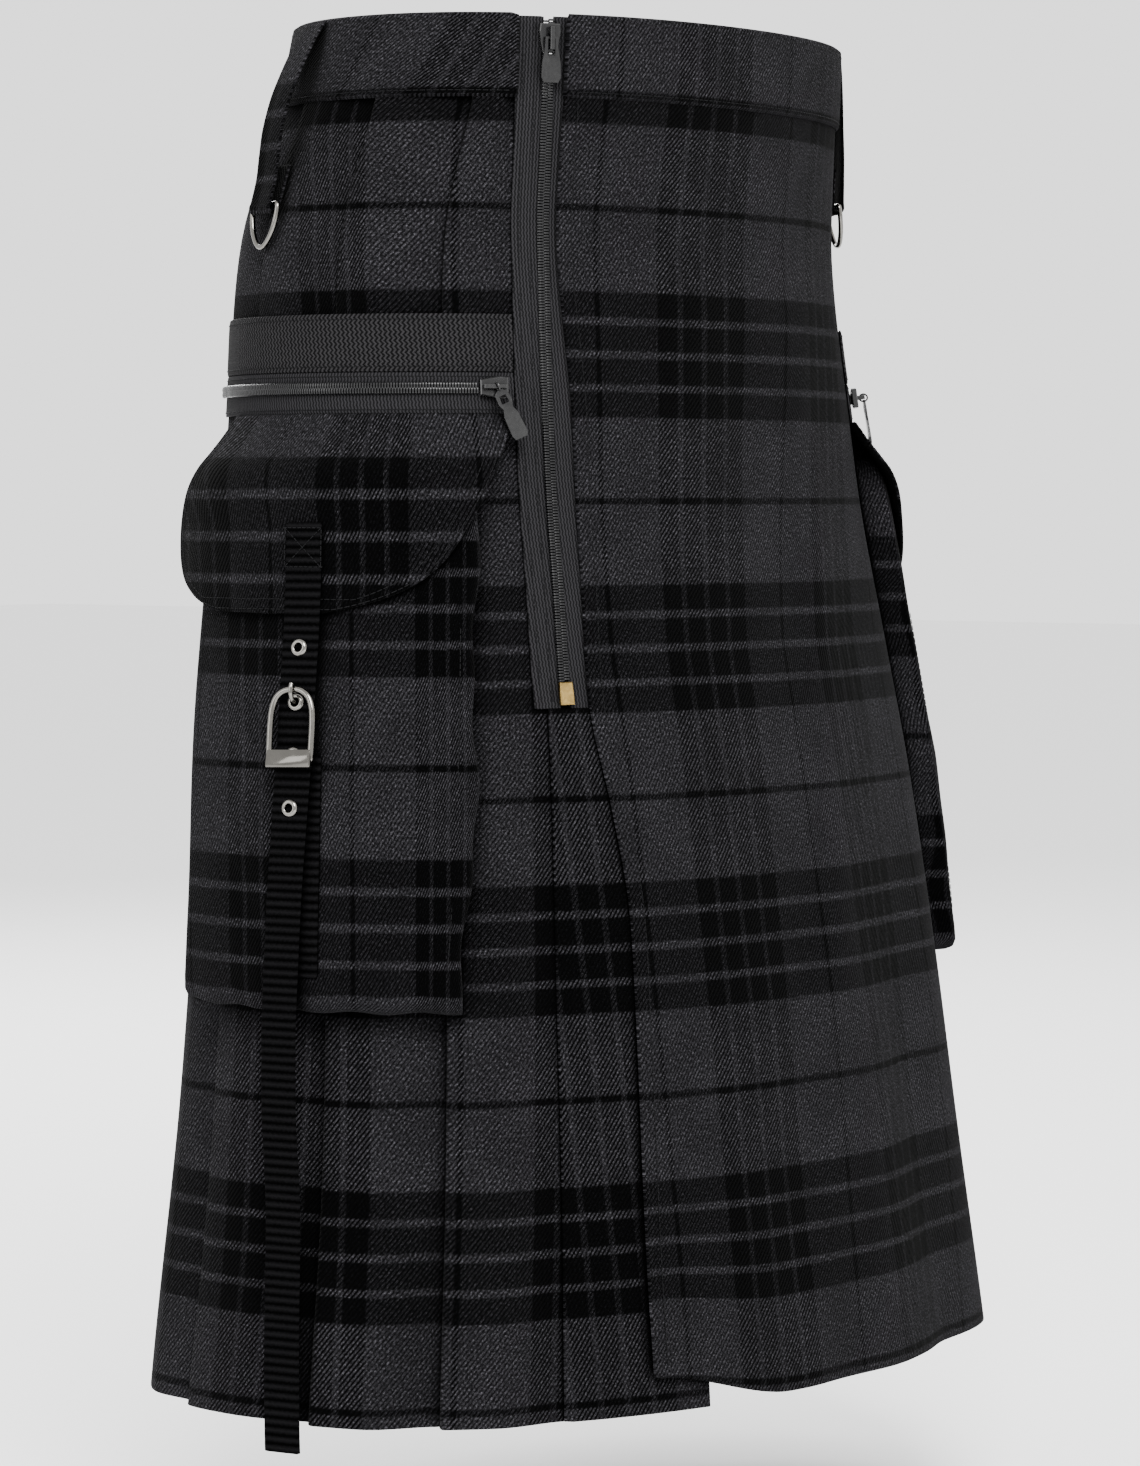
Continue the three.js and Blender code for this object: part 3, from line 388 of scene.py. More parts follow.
# Where the check falls at each fold edge, in mm of the repeat: at the waist, and at the hem.
FOLD_PHASES = [(-7, -6), (80, 66), (29, 18), (-21, -32), (-72, -94), (-122, -140), (-173, -196),
               (-223, -238), (-273, -300), (-324, -338), (-374, -402), (-424, -440), (-475, -500)]
# Above the pocket the check runs on over the folds: its places, and the turns where each lies
# at four heights.
UPPER_PLACES = [40, 0, -7, -37, -93, -130, -200]
UPPER_HEIGHTS = [30, 66, 110, 150]
UPPER_CHECK = np.array([
    [-0.1400, -0.1841, -0.1918, -0.2315, -0.2783, -0.3363, -0.4460],
    [-0.1330, -0.1748, -0.1822, -0.2193, -0.2582, -0.2970, -0.3704],
    [-0.1306, -0.1716, -0.1788, -0.2144, -0.2504, -0.2816, -0.3406],
    [-0.1320, -0.1724, -0.1794, -0.2141, -0.2490, -0.2785, -0.3343]])
# How far each fold edge strays sideways at the hem, in mm.
FOLD_STRAY = [3, -6, -1, -6, -2.5, 1, 3, -1.5, 2.5, -2, 1.5, -3, 0.5]


def turns_of(mm, z):
    """mm along the cloth as a share of the way round."""
    return mm / round_length(z)


def zip_turn(z):
    """The front zip's middle."""
    return turns_of(along(ZIP_LINE, z, 1), z)


def apron_edge(z):
    """The apron's free edge."""
    return turns_of(along(ZIP_LINE, z, 2), z)


def layer_middles(z):
    """Heights off the body of the middles of a fold's three layers: lowest, turned and face."""
    air = along(PLEAT_SIZES, z, 2)
    return CLOTH / 2, 1.5 * CLOTH + air, 2.5 * CLOTH + 2 * air


def fold_top(z):
    """Height off the body of a fold's outer face."""
    return layer_middles(z)[2] + CLOTH / 2


def underlay_edge(z):
    """Edge of the panel under the apron, nearest the zip."""
    return -0.1345 - 0.002 * smooth((-286 - z) / 150)


def panel_start(z):
    """Where the first panel comes out from under the zip's tape, and lower down the underlay."""
    return mix(zip_turn(z) - turns_of(16, z), underlay_edge(z), smooth((-290 - z) / 50))


def check_at(where, z, heights, table, places):
    """Places in the check across a panel: the table holds, for each of some heights below the
    waist, where along the cloth each place lies. Linear between the heights and the places."""
    made = np.zeros(np.broadcast(where, z).shape)
    for i, height in enumerate(z[:, 0]):
        keys = [np.interp(-height, heights, column) for column in np.transpose(table)]
        made[i] = np.interp(where[i], keys, places)
    return made


def pleat_rows(count):
    """Heights of the rows of a pleated length, a little closer near the hem."""
    return mix(WAIST_SEAM - 0.4, HEM, np.linspace(0, 1, count) ** 0.96)


def pleats(first, last, start=None, end=None):
    """The folded cloth's middle line at each height, as (mm back from the centre front, height
    off the body), then both faces half a thickness off it. Each panel rises from under the fold
    before it, turns round at its own fold, comes back under and turns forward again."""
    z = pleat_rows(76)[:, None]
    low, turned, face = layer_middles(z)
    long = round_length(z)
    overlap = along(PLEAT_SIZES, z, 1)
    stray = smooth((-120 - z) / 470)

    def fold(k):
        return -(FOLD_FIRST - FOLD_STEP * k) * long + FOLD_STRAY[min(max(k, 0), 12)] * stray

    def line(*pairs):
        return [np.broadcast_to(v, (len(z), np.shape(v)[1] if np.ndim(v) == 2 else 1)) for v in pairs]
    xs, hs, across = [], [], []

    def add(x, h, k, beyond=False):
        x, h = np.broadcast_arrays(x, h)
        phase = mix(FOLD_PHASES[k][0], FOLD_PHASES[k][1], (WAIST_SEAM - z) / (WAIST_SEAM - HEM))
        away = fold(k) - x
        xs.append(x)
        hs.append(h)
        across.append(phase + WARP_SCALE * (-away if beyond else away))

    nose = np.linspace(0, math.pi, 7)[None, :]
    for k in range(first, last + 1):
        if k == first:
            begin = -start(z) * long if start else fold(k - 1) - overlap * 0.5
            add(begin, low + 0 * z, k)
        came = -panel_start(z) * long if k == 0 else fold(k - 1) + 0.8
        edge = fold(k)
        up = edge - overlap - 1.2
        t = np.linspace(0, 1, 11)[None, :]
        add(mix(came, up, t), mix(low, face, smooth(t)), k)
        radius = (face - turned) / 2
        add(mix(up, edge - radius, np.array([[0.35, 0.7]])), face + 0 * z, k)
        add(edge - radius + radius * np.sin(nose), turned + radius + radius * np.cos(nose), k)
        inner = (turned - low) / 2
        add(mix(edge - radius, edge - overlap + inner, np.array([[0.35, 0.7]])), turned + 0 * z, k, True)
        add(edge - overlap + inner - inner * np.sin(nose), low + inner + inner * np.cos(nose), k, True)
        following = min(k + 1, 12)
        add(mix(edge - overlap + inner, edge, np.array([[0.3, 0.65]])), low + 0 * z, following)
    finish = -end(z) * long if end else fold(last) - overlap * 0.5 - 0.3
    if end:
        add(mix(edge, finish, np.array([[0.2, 0.6, 1.0]])), low + 0 * z, last)
    x, h, place = np.concatenate(xs, 1), np.concatenate(hs, 1), np.concatenate(across, 1)
    if first == 0:
        top = check_at(-x / long, z, UPPER_HEIGHTS, UPPER_CHECK[:, ::-1], UPPER_PLACES[::-1])
        place = mix(place, top, smooth((z + 250) / 90))
    weave = weave_of(place, FIRST_LINE - z)
    if not end:
        keep = x.shape[1] - 2
        x, h, weave = x[:, :keep], h[:, :keep], weave[:, :keep]
    step_x, step_h = np.gradient(x, axis=1), np.gradient(h, axis=1)
    size = np.hypot(step_x, step_h) + 1e-9
    off_x, off_h = -step_h / size * CLOTH / 2, step_x / size * CLOTH / 2
    return shell(at(-(x + off_x) / long, z, h + off_h), at(-(x - off_x) / long, z, h - off_h), weave)


skirt = {
    "right": pleats(0, 3, start=lambda z: panel_start(z) + turns_of(26, z)),
    "back": pleats(4, 7),
    "left": pleats(8, 12, end=lambda z: -0.852 + 0 * z),
}
for side, (points, faces, weave) in skirt.items():
    make_piece(f"pleats_{side}", points, faces, wool, "wool", weave, replaces=[f"skirt_{side}"])

# The apron: one flat panel of the check across the front, from the front zip to the wearer's
# left. Its free edge is faced and pressed, and its lower corner lifts and turns out a little.
APRON_END = 0.165
APRON_CORNER = 14
CORNER_FROM = -480.0
CORNER_SHARE = 7 / 30
APRON_CURL = 1.6
APRON_THICK = 1.5
APRON_OFF = [[18, 2.9, 2.2], [-286, 2.9, 2.2], [-330, 3.7, 2.4], [-450, 4.6, 2.6], [-592, 5.6, 2.8]]
# Places of the check's edges on the apron, in mm from the centre front, at five heights.
APRON_CHECK_HEIGHTS = [17, 110, 258, 500, 592]
APRON_CHECK_PLACES = [-60, 0, 37, 93, 130, 167, 223, 260, 300, 380]
APRON_CHECK = np.array([
    [-140, -88, -53, 7, 42, 65, 113, 145, 180, 250], [-143, -91, -57, 5, 41, 64, 113, 145, 180, 250],
    [-156, -105, -75, -23, 5, 31, 75, 105, 140, 210], [-160, -108, -80, -30, 3, 36, 84, 117, 152, 222],
    [-162, -110, -81, -30, 4, 38, 86, 119, 154, 224]])


def corner_lift(t, z):
    """How far the lower corner by the zip is drawn up, t across the apron."""
    return APRON_CORNER * (1 - smooth(t / CORNER_SHARE)) * smooth((CORNER_FROM - z) / 112)


def apron_off(turn, z):
    """How far the apron's inner face stands off, more at the zip than at its far edge."""
    t = (turn - apron_edge(z)) / (APRON_END - apron_edge(z))
    return mix(along(APRON_OFF, z, 1), along(APRON_OFF, z, 2), smooth(t))


z = mix(WAIST_SEAM - 0.4, HEM + 2, np.linspace(0, 1, 84))[:, None]
t = np.linspace(0, 1, 97)[None, :]
turn = mix(apron_edge(z), APRON_END, t)
lift = corner_lift(t, z)
curl = APRON_CURL * (1 - smooth(t * 16)) * smooth((-420 - z) / 150)
off = apron_off(turn, z) + curl
apron_places = check_at(turn * round_length(z), z, APRON_CHECK_HEIGHTS, APRON_CHECK, APRON_CHECK_PLACES)
weave = weave_of(apron_places, FIRST_LINE - z - lift * 0.4)
points, faces, weave = shell(at(turn, z + lift, off + APRON_THICK), at(turn, z + lift, off), weave)
apron = make_piece("apron_panel", points, faces, wool, "wool", weave, replaces=["apron"])

# The underlay: a panel of the check under the apron's edge, seen where the zip ends.
z = mix(-286.6, HEM, np.linspace(0, 1, 46))[:, None]
turn = mix(underlay_edge(z), -0.078, np.linspace(0, 1, 23)[None, :])
off = mix(1.6, 2.4, smooth((-286 - z) / 306)) + 0 * turn
weave = weave_of(65 + (turn * round_length(z) + 140) * WARP_SCALE, FIRST_LINE - z)
points, faces, weave = shell(at(turn, z, off + CLOTH), at(turn, z, off), weave)
underlay = make_piece("underlay", points, faces, wool, "wool", weave, replaces=["front_underlay"])

# The waistband: the check folded double over a stiffener, 35 mm deep, sewn on round the top.
# The front length ends at the apron's edge, the back one runs round to the zip's tape.
WAIST_TOP = 18.0
BAND_SEAM = 0.16
BAND_OFF, BAND_THICK = 2.9, 2.4


def tape_edge(z):
    """Outer edge of the front zip's tape."""
    return zip_turn(z) - turns_of(14.5, z)


def band(start, end, columns, phase):
    """A strip between two edges, plump in the middle, with its own run of the check."""
    z = mix(WAIST_TOP, WAIST_SEAM, np.linspace(0, 1, 13))[:, None]
    turn = mix(start(z), end(z), np.linspace(0, 1, columns)[None, :])
    plump = 0.35 * np.sin(math.pi * (WAIST_TOP - z) / 35) ** 0.5 + 0.12 * np.sin(turn * 190) * (z < 0)
    weave = weave_of(phase + turn * round_length(z) * WARP_SCALE, -15.8 - z)
    return shell(at(turn, z, BAND_OFF + BAND_THICK + plump), at(turn, z, BAND_OFF + 0 * turn), weave)


points, faces, weave = band(apron_edge, lambda z: BAND_SEAM + 0 * z, 90, 92)
band_front = make_piece("band_front", points, faces, wool, "wool", weave, replaces=["waistband_front"])
points, faces, weave = band(
    lambda z: BAND_SEAM + 0.0004 + 0 * z, lambda z: 1 + tape_edge(z) - turns_of(0.4, z), 240, 75)
band_back = make_piece("band_back", points, faces, wool, "wool", weave, replaces=["waistband_back"])

# Frames on the body: a point, then the directions back along the cloth, outward and up.
STRAP = 17.0


def level_frame(turn, z, out):
    """The upright frame `out` mm off the section: outward is the section's own normal."""
    place = at(turn, z, out, flat=True)
    outward = (at(turn, z, out + 10, flat=True) - place) / 10
    up = np.zeros_like(place)
    up[..., 2] = 1
    return place, np.cross(outward, up), outward, up


def leaning_frame(table, z, rise=0.0, mirror=1):
    """The frame on a run of (height, turn, stand-off) that leans as the run does at height z."""
    def point(height):
        return at(mirror * along(table, height, 1), height, along(table, height, 2), flat=True)
    up = unit(point(z + 8) - point(z - 8))
    place, _, outward, _ = level_frame(mirror * along(table, z, 1), z, along(table, z, 2))
    x = unit(np.cross(outward, up))
    outward = np.cross(up, x)
    return place + outward * rise, x, outward, up


def in_frame(frame_axes, local):
    """Local points (back, outward, up) carried to the body."""
    place, x, outward, up = frame_axes
    local = np.asarray(local, float)
    return place + local[..., :1] * x + local[..., 1:2] * outward + local[..., 2:3] * up


def curve(points, count, closed=False):
    """`count` points on a smooth curve (Catmull-Rom) through the given ones."""
    p = np.asarray(points, float)
    if closed:
        p = np.concatenate([p[-1:], p, p[:2]])
    else:
        p = np.concatenate([2 * p[:1] - p[1:2], p, 2 * p[-1:] - p[-2:-1]])
    spans = len(p) - 3
    u = np.linspace(0, spans, count, endpoint=not closed)
    i = np.minimum(u.astype(int), spans - 1)
    t = (u - i)[:, None]
    a, b, c, d = p[i], p[i + 1], p[i + 2], p[i + 3]
    return 0.5 * (2 * b + (c - a) * t + (2 * a - 5 * b + 4 * c - d) * t**2 + (3 * b - a - 3 * c + d) * t**3)


def tube(path, radius, side, sides=14, closed=False):
    """A round bar along a path: rings square to it, `side` a direction never along the path.
    An open bar ends in a small dome."""
    path = np.asarray(path, float)
    run = unit(np.roll(path, -1, 0) - np.roll(path, 1, 0) if closed else np.gradient(path, axis=0))
    size = np.full(len(path), float(radius))
    if not closed:
        dome = radius * 0.45
        path = np.concatenate([path[:1] - run[:1] * dome, path, path[-1:] + run[-1:] * dome])
        run = np.concatenate([run[:1], run, run[-1:]])
        size = np.concatenate([[radius * 0.6], size, [radius * 0.6]])
    first = unit(np.asarray(side, float) - run * (run @ np.asarray(side, float))[:, None])
    second = np.cross(run, first)
    angle = np.linspace(0, 2 * math.pi, sides, endpoint=False)[None, :, None]
    points = path[:, None] + size[:, None, None] * (np.cos(angle) * first[:, None]
                                                    + np.sin(angle) * second[:, None])
    index = np.arange(len(path) * sides).reshape(len(path), sides)
    nxt = np.roll(index, -1, 1)
    rows = (index, nxt, np.roll(nxt, -1, 0), np.roll(index, -1, 0))
    count = len(path) if closed else len(path) - 1
    faces = [np.stack([r[:count] for r in rows], -1).reshape(-1, 4)]
    if not closed:
        faces += [index[:1, ::-1], index[-1:]]
    return points.reshape(-1, 3), faces


def together(*parts):
    """Several (points, faces) as one."""
    points, faces, start = [], [], 0
    for p, f in parts:
        points.append(p)
        faces += [g + start for g in (f if isinstance(f, list) else [f])]
        start += len(p)
    return np.concatenate(points), faces


def facing_out(points, faces):
    """The faces turned so that the closed form's volume is positive."""
    six = 0
    for group in faces:
        for k in range(1, group.shape[1] - 1):
            six += np.einsum("ij,ij->i", points[group[:, 0]],
                             np.cross(points[group[:, k]], points[group[:, k + 1]])).sum()
    return points, [g[:, ::-1] for g in faces] if six < 0 else faces


BEAD_RINGS = [(-1, 0.5), (-0.78, 1), (0.78, 1), (1, 0.5)]


def beads(places, run, outward, size, sides=8):
    """One small rounded bar at each place: half sizes along its run, across it and outward."""
    run = unit(run)
    across = unit(np.cross(outward, run))
    outward = np.cross(run, across)
    angle = np.linspace(0, 2 * math.pi, sides, endpoint=False)
    bead = np.array([[u, r * math.cos(a), r * math.sin(a)] for u, r in BEAD_RINGS for a in angle]) * size
    points = places[:, None] + (bead[None, :, :1] * run[:, None] + bead[None, :, 1:2] * across[:, None]
                                + bead[None, :, 2:] * outward[:, None])
    index = np.arange(len(BEAD_RINGS) * sides).reshape(len(BEAD_RINGS), sides)
    nxt = np.roll(index, -1, 1)
    quads = np.stack([index[:-1], nxt[:-1], nxt[1:], index[1:]], -1).reshape(-1, 4)
    start = (np.arange(len(places)) * len(bead))[:, None, None]
    faces = [(quads[None] + start).reshape(-1, 4), (index[:1, ::-1][None] + start).reshape(-1, sides),
             (index[-1:][None] + start).reshape(-1, sides)]
    return facing_out(points.reshape(-1, 3), faces)


def evenly(points, step):
    """Points `step` apart along a polyline, and where each lies in it."""
    length = np.concatenate([[0], np.cumsum(np.linalg.norm(np.diff(points, axis=0), axis=1))])
    want = np.arange(step / 2, length[-1], step)
    return np.stack([np.interp(want, length, points[:, k]) for k in range(3)], -1), want / length[-1]


THREAD = []
STITCH = (1.25, 0.2, 0.17)
STITCH_STEP = 3.1


def stitch(turn, z, out, flat=False, step=STITCH_STEP, size=STITCH):
    """Adds a row of stitches on the cloth along a line of turns, heights and stand-offs."""
    turn, z, out = np.broadcast_arrays(*(np.asarray(v, float) for v in (turn, z, out)))
    line, normal = at(turn, z, out, flat), at(turn, z, out + 1, flat)
    places, _ = evenly(line, step)
    tops, _ = evenly(normal, step * np.linalg.norm(np.diff(normal, axis=0), axis=1).sum()
                     / np.linalg.norm(np.diff(line, axis=0), axis=1).sum())
    count = min(len(places), len(tops))
    if count > 2:
        run = np.gradient(places[:count], axis=0)
        THREAD.append(beads(places[:count], run, tops[:count] - places[:count], size))


# Woven trims: ribbed webbing and straps, and zip tapes, all of black polyester. The ribs run
# square to "weave" x; a fine zigzag across them makes the herringbone.
def ribbed(name, pitch, light, dark, zigzag, relief, axis=0, hair=1.0, gloss=0.03):
    """Ribs `pitch` mm apart, with painted light on each crest and painted shade between them,
    with fibres and worn patches.
    """
    made, tree, shader = principled(name, 0.75, Specular_IOR_Level=gloss)
    place = node(tree, "Attribute", attribute_name="weave")
    split = node(tree, "SeparateXYZ", [(0, place.outputs["Vector"])])
    other = maths(tree, "PINGPONG", split.outputs[1 - axis], 1.3)
    bends = noise(tree, place.outputs["Vector"], 0.8, 3.0)
    moved = maths(tree, "MULTIPLY_ADD", other, zigzag, split.outputs[axis])
    moved = maths(tree, "MULTIPLY_ADD", bends.outputs["Fac"], 0.35 * pitch, moved)
    crest = maths(tree, "MULTIPLY", maths(tree, "PINGPONG", maths(tree, "DIVIDE", moved, pitch), 0.5), 2.0)
    fine = noise(tree, place.outputs["Vector"], 2.6, 4.0, 0.7)
    uneven = maths(tree, "SUBTRACT", fine.outputs["Fac"], 0.5)
    mixed = maths(tree, "MULTIPLY_ADD", uneven, 0.7 * hair, crest)
    between = tuple((a + b) / 2 for a, b in zip(light, dark))
    # Painted light on the rib crests and painted shade in the grooves between them.
    shade = ramp(tree, mixed, [(0.15, dark), (0.55, between), (0.95, light)])
    # Painted shade: the colour is darkened where ambient occlusion finds grooves and gaps between parts.
    crevice = node(tree, "AmbientOcclusion", [("Distance", 0.01)], samples=6)
    painted_crevice_shade = ramp(tree, crevice.outputs["AO"], [(0.1, 0.15), (0.85, 1.0)])
    tree.links.new(blend(tree, 1.0, shade, painted_crevice_shade, "MULTIPLY"), shader.inputs["Base Color"])
    height = maths(tree, "MULTIPLY_ADD", fine.outputs["Fac"], 0.4, crest)
    bump = node(tree, "Bump", [("Height", height), ("Strength", 0.8), ("Distance", relief)])
    tree.links.new(bump.outputs["Normal"], shader.inputs["Normal"])
    return made


webbing_cloth = ribbed("webbing_ribs", 2.1, (0.018, 0.0174, 0.0184, 1), (0.0002, 0.0002, 0.0003, 1),
                       0.9, 0.0006, hair=1.9)
strap_cloth = ribbed("strap_ribs", 3.7, (0.0034, 0.0033, 0.0036, 1), (0.0001, 0.0001, 0.0001, 1),
                     0.1, 0.0004, axis=1, gloss=0.008)
tape_cloth = ribbed("zip_tape_weave", 1.5, (0.0165, 0.016, 0.0174, 1), (0.0022, 0.0022, 0.0024, 1),
                    0.35, 0.0003, hair=1.4)


def hard(name, colour, metallic, roughness, wear, scale=160.0, gloss=0.5):
    """Plated or painted metal or plastic: fine uneven gloss, small dents, and lighter rubbed
    places where the surface turns sharply."""
    made, tree, shader = principled(name, roughness, Metallic=metallic, Specular_IOR_Level=gloss)
    place = node(tree, "TexCoord")
    dull = noise(tree, place.outputs["Object"], scale, 6.0)
    rub = noise(tree, place.outputs["Object"], scale * 5, 4.0)
    edge = node(tree, "NewGeometry")
    worn = ramp(tree, edge.outputs["Pointiness"], [(0.5, 0.0), (0.58, 1.0)])
    worn = maths(tree, "MULTIPLY", worn, maths(tree, "MULTIPLY", rub.outputs["Fac"], 1.2))
    deeper = tuple(c * 0.72 for c in colour[:3]) + (1,)
    base = blend(tree, dull.outputs["Fac"], deeper, colour)
    tree.links.new(blend(tree, worn, base, wear), shader.inputs["Base Color"])
    polish = node(tree, "MapRange", [("Value", dull.outputs["Fac"]), (1, 0.3), (2, 0.7),
                                    (3, roughness * 0.75), (4, min(1.0, roughness * 1.45))])
    tree.links.new(polish.outputs[0], shader.inputs["Roughness"])
    bump = node(tree, "Bump", [("Height", rub.outputs["Fac"]), ("Strength", 0.12), ("Distance", 0.0002)])
    tree.links.new(bump.outputs["Normal"], shader.inputs["Normal"])
    return made


nickel = hard("nickel_plate", (0.12, 0.115, 0.105, 1), 1.0, 0.14, (0.26, 0.25, 0.23, 1))
black_metal = hard("black_enamel", (0.0022, 0.0022, 0.0025, 1), 0.0, 0.16, (0.012, 0.012, 0.012, 1),
                   gloss=0.35)
brass = hard("brass", (0.20, 0.125, 0.035, 1), 1.0, 0.33, (0.36, 0.25, 0.09, 1))
coil_plastic = hard("coil_nylon", (0.0008, 0.0008, 0.0009, 1), 0.0, 0.3, (0.006, 0.006, 0.0065, 1),
                    gloss=0.3)
thread = hard("black_thread", (0.0018, 0.0018, 0.002, 1), 0.0, 0.7, (0.004, 0.004, 0.0045, 1), 900.0,
              gloss=0.08)

# The front zip: a woven tape each side of a nylon coil, lying open-faced on the cloth, its
# slider at the waistband and a brass box at the foot. The tapes are sewn down along one row.
FOOT = -286.0
TAPE_OFF = CLOTH + 0.35


def lying(name, top, bottom, rows, left, right, columns, off, thick, material, slot_name, nodes, side=-1):
    """A flat trim on the cloth between two edges, `off` mm off the section; side 1 mirrors it.
    Its outer face drops a quarter of its thickness along the edges."""
    z = mix(top, bottom, np.linspace(0, 1, rows))[:, None]
    turn = mix(left(z), right(z), np.linspace(0, 1, columns)[None, :])
    out = off(turn, z) + 0 * turn
    weave = weave_of(turn * round_length(z), top - z)
    down, across = (np.abs(np.linspace(-1, 1, count)) ** 30 for count in (rows, columns))
    edge = np.minimum(1, down[:, None] + across[None, :])
    turned = -side * turn
    top_face = at(turned, z, out + thick * (1 - 0.25 * edge))
    points, faces, weave = shell(top_face, at(turned, z, out), weave)
    return make_piece(name, points, faces, material, slot_name, weave, replaces=nodes)


tape_outer = lying("front_tape_outer", WAIST_TOP - 0.5, FOOT, 90, tape_edge,
                   lambda z: zip_turn(z) - turns_of(2.4, z), 12, lambda t, z: TAPE_OFF, 1.0,
                   tape_cloth, "zip_tape", ["front_zip_tape_outer"])
tape_inner = lying("front_tape_inner", WAIST_TOP - 0.5, FOOT, 90, lambda z: zip_turn(z) + turns_of(2.4, z),
                   lambda z: zip_turn(z) + turns_of(17, z), 12, lambda t, z: TAPE_OFF, 1.0,
                   tape_cloth, "zip_tape", ["front_zip_tape_inner"])
TOOTH = (0.46, 1.6, 1.0)
TOOTH_STEP = 1.28
z = np.linspace(16.5, -274, 600)
centre, share = evenly(at(zip_turn(z), z, TAPE_OFF + 1.4), TOOTH_STEP)
outward = (at(zip_turn(z), z, TAPE_OFF + 9) - at(zip_turn(z), z, TAPE_OFF))[(share * 599).astype(int)]
run = np.gradient(centre, axis=0)
across = unit(np.cross(run, outward))
teeth = together(*(beads(centre + across * side * 1.25 + run * 0.25 * side, run, outward, TOOTH)
                   for side in (-1, 1)))
make_piece("front_coil", *teeth, coil_plastic, "coil", replaces=["front_zip_coil"])
z = np.linspace(WAIST_TOP - 3, FOOT + 2, 300)
stitch(zip_turn(z) - turns_of(11.5, z), z, TAPE_OFF + 1.1)
stitch(zip_turn(z) - turns_of(6.2, z), z, TAPE_OFF + 1.1)

# Above each pocket: a band of ribbed webbing sewn on along both edges, and the pocket's zip
# under it, its slider at the front end. On the wearer's left they lie on the apron.


def cover(turn, z):
    """Where pieces on the skirt start: over the folds, and down on the panel by the zip."""
    t = smooth((np.abs(turn) + panel_start(z)) / turns_of(13, z))
    return mix(CLOTH, fold_top(z), t) + 0.35


def cover_left(turn, z):
    """The same on the wearer's left, at least as far out as the apron."""
    return np.maximum(cover(turn, z), apron_off(-turn, z) + 1.9)


POCKET_ZIP = -146.0
for side, mirror, over in (("right", -1, cover), ("left", 1, cover_left)):
    lying(
        f"webbing_band_{side}", -113.5, -138.5, 12, lambda z: tape_edge(z) - turns_of(1, z),
        lambda z: -0.365 + 0 * z, 200, over, CLOTH, webbing_cloth, "webbing", [f"webbing_{side}"], mirror)
    lying(
        f"pocket_tape_{side}", -139.2, -157, 12, lambda z: tape_edge(z) - turns_of(1, z),
        lambda z: -0.338 + 0 * z, 160, over, 1.0, tape_cloth, "zip_tape", [f"pocket_zip_tape_{side}"],
        mirror)
    turn = np.linspace(-0.163, -0.334, 500)
    line = at(-mirror * turn, POCKET_ZIP, over(turn, POCKET_ZIP) + 2.2)
    centre, share = evenly(line, TOOTH_STEP)
    outward = at(-mirror * turn, POCKET_ZIP, 30) - at(-mirror * turn, POCKET_ZIP, 20)
    outward = outward[(share * 499).astype(int)]
    run = np.gradient(centre, axis=0)
    upward = np.zeros_like(run)
    upward[:, 2] = 1
    teeth = together(*(beads(centre + upward * up * 1.1 + run * 0.25 * up, run, outward, TOOTH)
                       for up in (-1, 1)))
    make_piece(f"pocket_coil_{side}", *teeth, coil_plastic, "coil", replaces=[f"pocket_zip_coil_{side}"])
    for height, ends in ((-115.6, -0.363), (-136.4, -0.363), (-140.8, -0.336), (-155.4, -0.336)):
        turn = np.linspace(tape_edge(height) - 0.003, ends, 200)
        thick = CLOTH if height > -139 else 1.0
        stitch(-mirror * turn, height + 0 * turn, over(turn, height) + thick + 0.05)

# Cargo pockets on both hips: a flat front with side and bottom gussets in one, sewn to the
# skirt, open at the top under the flap, a little slack, with soft edges.
BAG_SHAPE = [
    [-163, -0.169, -0.2915, 7.8], [-173, -0.168, -0.292, 13], [-182, -0.167, -0.2922, 18.4],
    [-193, -0.1665, -0.2924, 21], [-215, -0.1665, -0.2924, 21.4], [-300, -0.169, -0.2918, 21.6],
    [-380, -0.173, -0.2914, 21.2], [-405, -0.175, -0.291, 20.4]]
BAG_FLOOR = [[0, -405, 1.0], [0.35, -411, 0.96], [0.6, -414.5, 0.8], [0.8, -415.8, 0.45], [1, -416, 0.06]]
POCKET_MIDDLE = -0.23
POCKET_SWELL = 0.05
BAG_CHECK_PLACES = [-14, 37, 93, 130, 167, 215, 239]
BAG_CHECK = np.array([[-0.300, -0.2679, -0.2331, -0.2131, -0.1900, -0.1699, -0.1600],
                      [-0.293, -0.2606, -0.2301, -0.2118, -0.1906, -0.1722, -0.1625]])

# Creases of its front: from (mm across, height) to (mm across, height), half width, depth.
BAG_CREASES = [
    (-52, -262, -20, -330, 9, -1.1), (30, -250, 58, -318, 8, -1.0), (-40, -345, -8, -402, 8, -0.9),
    (46, -340, 30, -405, 9, -1.2), (62, -270, 60, -400, 7, 0.9), (-64, -280, -62, -396, 7, 0.8),
    (10, -350, 34, -396, 7, -0.7), (-20, -404, 52, -392, 9, 0.8)]


def pocket_seat(z):
    """How far the skirt under the pocket stands off, where the gussets are sewn."""
    return cover(POCKET_MIDDLE, z) + 0.1


def pocket_front(t, z):
    """How far the pocket's front stands off, t across it, with a swell of a twentieth."""
    seat = pocket_seat(z)
    return seat + (along(BAG_SHAPE, z, 3) - seat) * (1 + POCKET_SWELL * np.sin(math.pi * t))


